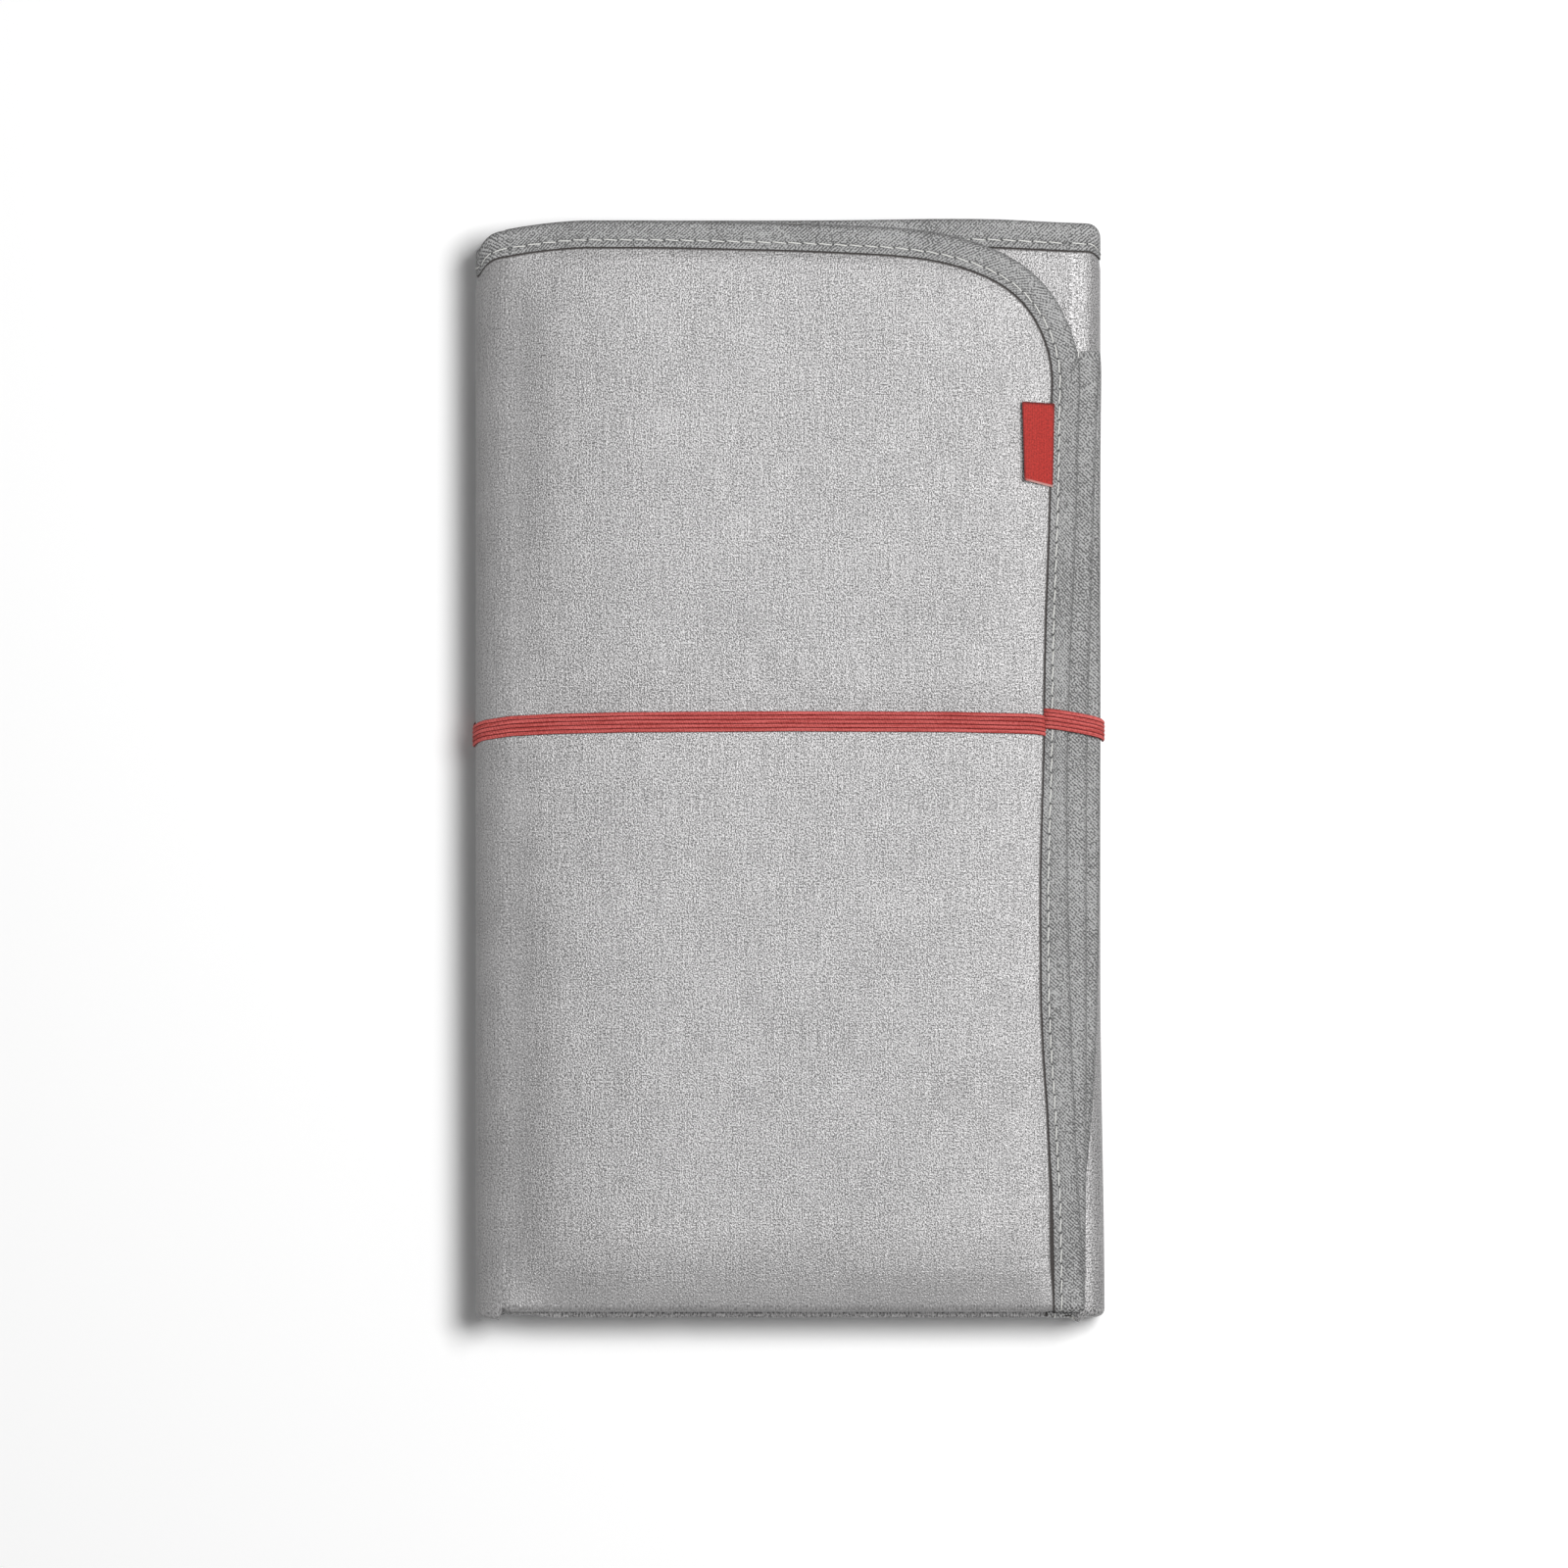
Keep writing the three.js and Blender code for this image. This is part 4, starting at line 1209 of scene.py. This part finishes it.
class PAD_OT_waddings(bpy.types.Operator):
    """Makes the wadding of every panel and fold."""

    bl_idname = "ironing_pad.waddings"
    bl_label = "Wadding"

    def execute(self, context):
        pad = settings()
        for piece in make_layer("wadding", wadding_finish(pad), pad)[2]:
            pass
        return {"FINISHED"}


class PAD_OT_backing_cloths(bpy.types.Operator):
    """Makes the plain cloth that closes the pad behind."""

    bl_idname = "ironing_pad.backing_cloths"
    bl_label = "Backing cloth"

    def execute(self, context):
        pad = settings()
        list(make_layer("backing_cloth", backing_finish(pad), pad)[:2])
        return {"FINISHED"}


class PAD_OT_face_cloths(bpy.types.Operator):
    """Makes the silver face cloth."""

    bl_idname = "ironing_pad.face_cloths"
    bl_label = "Face cloth"

    def execute(self, context):
        pad = settings()
        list(make_layer("face_cloth", face_finish(pad), pad)[:2])
        return {"FINISHED"}


class PAD_OT_bindings(bpy.types.Operator):
    """Makes the bias binding round the whole edge."""

    bl_idname = "ironing_pad.bindings"
    bl_label = "Edge binding"

    def execute(self, context):
        pad = settings()
        finish = binding_finish(pad)
        for stretch in bound_stretches(pad):
            piece = binding_piece(stretch, finish)
            carry(piece, stretch)
            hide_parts(stretch["node"])
        return {"FINISHED"}


class PAD_OT_stitches(bpy.types.Operator):
    """Makes the rows of stitches that hold the binding, but none where a fold's innermost turn is shorter
    than one stitch."""

    bl_idname = "ironing_pad.stitches"
    bl_label = "Stitches"

    def execute(self, context):
        pad = settings()
        finish = thread_finish(pad)
        for stretch in bound_stretches(pad):
            if sewn_run(stretch)[-1] < mm(pad.stitch_length):
                continue
            piece = stitch_piece(stretch, finish, pad)
            carry(piece, stretch)
            if stretch["name"] == "front_side":
                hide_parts("front_stitching")
        return {"FINISHED"}


class PAD_OT_elastic(bpy.types.Operator):
    """Makes the ribbed elastic loop, which rides on the front panel."""

    bl_idname = "ironing_pad.elastic"
    bl_label = "Elastic loop"

    def execute(self, context):
        pad = settings()
        band = elastic_band(pad, elastic_finish(pad))
        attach(band, "front")
        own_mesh(band)
        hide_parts("elastic_loop")
        return {"FINISHED"}


class PAD_OT_label(bpy.types.Operator):
    """Makes the bare woven label."""

    bl_idname = "ironing_pad.label"
    bl_label = "Side label"

    def execute(self, context):
        pad = settings()
        tape = label_tape(pad, label_finish(pad))
        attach(tape, "front")
        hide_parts("side_label")
        return {"FINISHED"}


class PAD_OT_stage(bpy.types.Operator):
    """Makes the floor, the sky, the key light and the camera straight above the packet."""

    bl_idname = "ironing_pad.stage"
    bl_label = "Stage"

    def execute(self, context):
        stage = context.scene.ironing_pad_stage
        self.floor(stage)
        self.sky(context.scene, stage)
        self.key_light(context.scene, stage)
        self.camera(context.scene, stage)
        context.scene.view_settings.view_transform = "Standard"
        return {"FINISHED"}

    def floor(self, stage):
        """A wide square that the camera sees a little brighter than the light makes it."""
        finish = Finish("pale_floor", roughness=0.9, emission_strength=1.0)
        seen = finish.node("LightPath")
        finish.surface(finish.blend(seen, tuple(stage.floor_colour), (1.0, 1.0, 1.0)))
        finish.feed(finish.shader.inputs["Emission Color"], finish.blend(seen, (0, 0, 0), (0.06, 0.06, 0.06)))
        reach, level = 30.0, -0.0003
        corners = [(x * reach, y * reach, level) for x, y in ((-1, -1), (1, -1), (1, 1), (-1, 1))]
        mesh = bpy.data.meshes.new("floor")
        mesh.from_pydata(corners, [], [(0, 1, 2, 3)])
        mesh.materials.append(finish.material)
        floor = bpy.data.objects.new("floor", mesh)
        bpy.context.scene.collection.objects.link(floor)

    def sky(self, scene, stage):
        """An even sky, which the camera and every reflection see as a pale backdrop."""
        world = bpy.data.worlds.new("soft_sky")
        world.use_nodes = True
        scene.world = world
        tree = world.node_tree
        paths = tree.nodes.new("ShaderNodeLightPath")
        background = tree.nodes["Background"]
        background.inputs["Color"].default_value = (1.0, 1.0, 1.0, 1.0)
        seen = paths.outputs["Is Camera Ray"]
        for kind in ("Is Glossy Ray", "Is Transmission Ray"):
            either = tree.nodes.new("ShaderNodeMath")
            either.operation = "MAXIMUM"
            tree.links.new(seen, either.inputs[0])
            tree.links.new(paths.outputs[kind], either.inputs[1])
            seen = either.outputs[0]
        mix = tree.nodes.new("ShaderNodeMix")
        mix.inputs[2].default_value = stage.sky_strength
        mix.inputs[3].default_value = stage.backdrop_strength
        tree.links.new(seen, mix.inputs[0])
        tree.links.new(mix.outputs[0], background.inputs["Strength"])

    def key_light(self, scene, stage):
        """A soft square light at the upper right, aimed at the packet's middle."""
        data = bpy.data.lights.new("key_light", "AREA")
        data.shape = "SQUARE"
        data.size = stage.key_size
        data.energy = stage.key_power
        lamp = bpy.data.objects.new("key_light", data)
        lamp.location = (0.62, 0.34, 1.9)
        lamp.rotation_euler = Vector(lamp.location).to_track_quat("Z", "Y").to_euler()
        scene.collection.objects.link(lamp)

    def camera(self, scene, stage):
        """A camera that looks straight down, with the width asked for at the height of the pad's face."""
        data = bpy.data.cameras.new("camera")
        data.lens = data.sensor_width * (stage.view_height - FACE_TOP * MM) / stage.view_width
        data.clip_end = 50.0
        camera = bpy.data.objects.new("camera", data)
        camera.location = (-0.00165, -0.0048, stage.view_height)
        scene.collection.objects.link(camera)
        scene.camera = camera


OPERATORS = (
    PAD_OT_waddings, PAD_OT_backing_cloths, PAD_OT_face_cloths, PAD_OT_bindings, PAD_OT_stitches,
    PAD_OT_elastic, PAD_OT_label, PAD_OT_stage,
)


class PAD_PT_sidebar(bpy.types.Panel):
    """The pad's settings and the buttons that make its pieces."""

    bl_label = "Ironing pad"
    bl_idname = "PAD_PT_sidebar"
    bl_space_type = "VIEW_3D"
    bl_region_type = "UI"
    bl_category = "Ironing pad"

    def draw(self, context):
        for group in (context.scene.ironing_pad, context.scene.ironing_pad_stage):
            for name in group.__annotations__:
                self.layout.prop(group, name)
        for operator in OPERATORS:
            self.layout.operator(operator.bl_idname)


CLASSES = (PadClothSettings, PadStageSettings, *OPERATORS, PAD_PT_sidebar)


def register():
    for item in CLASSES:
        bpy.utils.register_class(item)
    bpy.types.Scene.ironing_pad = PointerProperty(type=PadClothSettings)
    bpy.types.Scene.ironing_pad_stage = PointerProperty(type=PadStageSettings)


def unregister():
    del bpy.types.Scene.ironing_pad_stage
    del bpy.types.Scene.ironing_pad
    for item in reversed(CLASSES):
        bpy.utils.unregister_class(item)


def main():
    """Registers the add-on and makes every piece and the stage."""
    register()
    for operator in OPERATORS:
        group, name = operator.bl_idname.split(".")
        getattr(getattr(bpy.ops, group), name)()


if __name__ == "__main__":
    main()
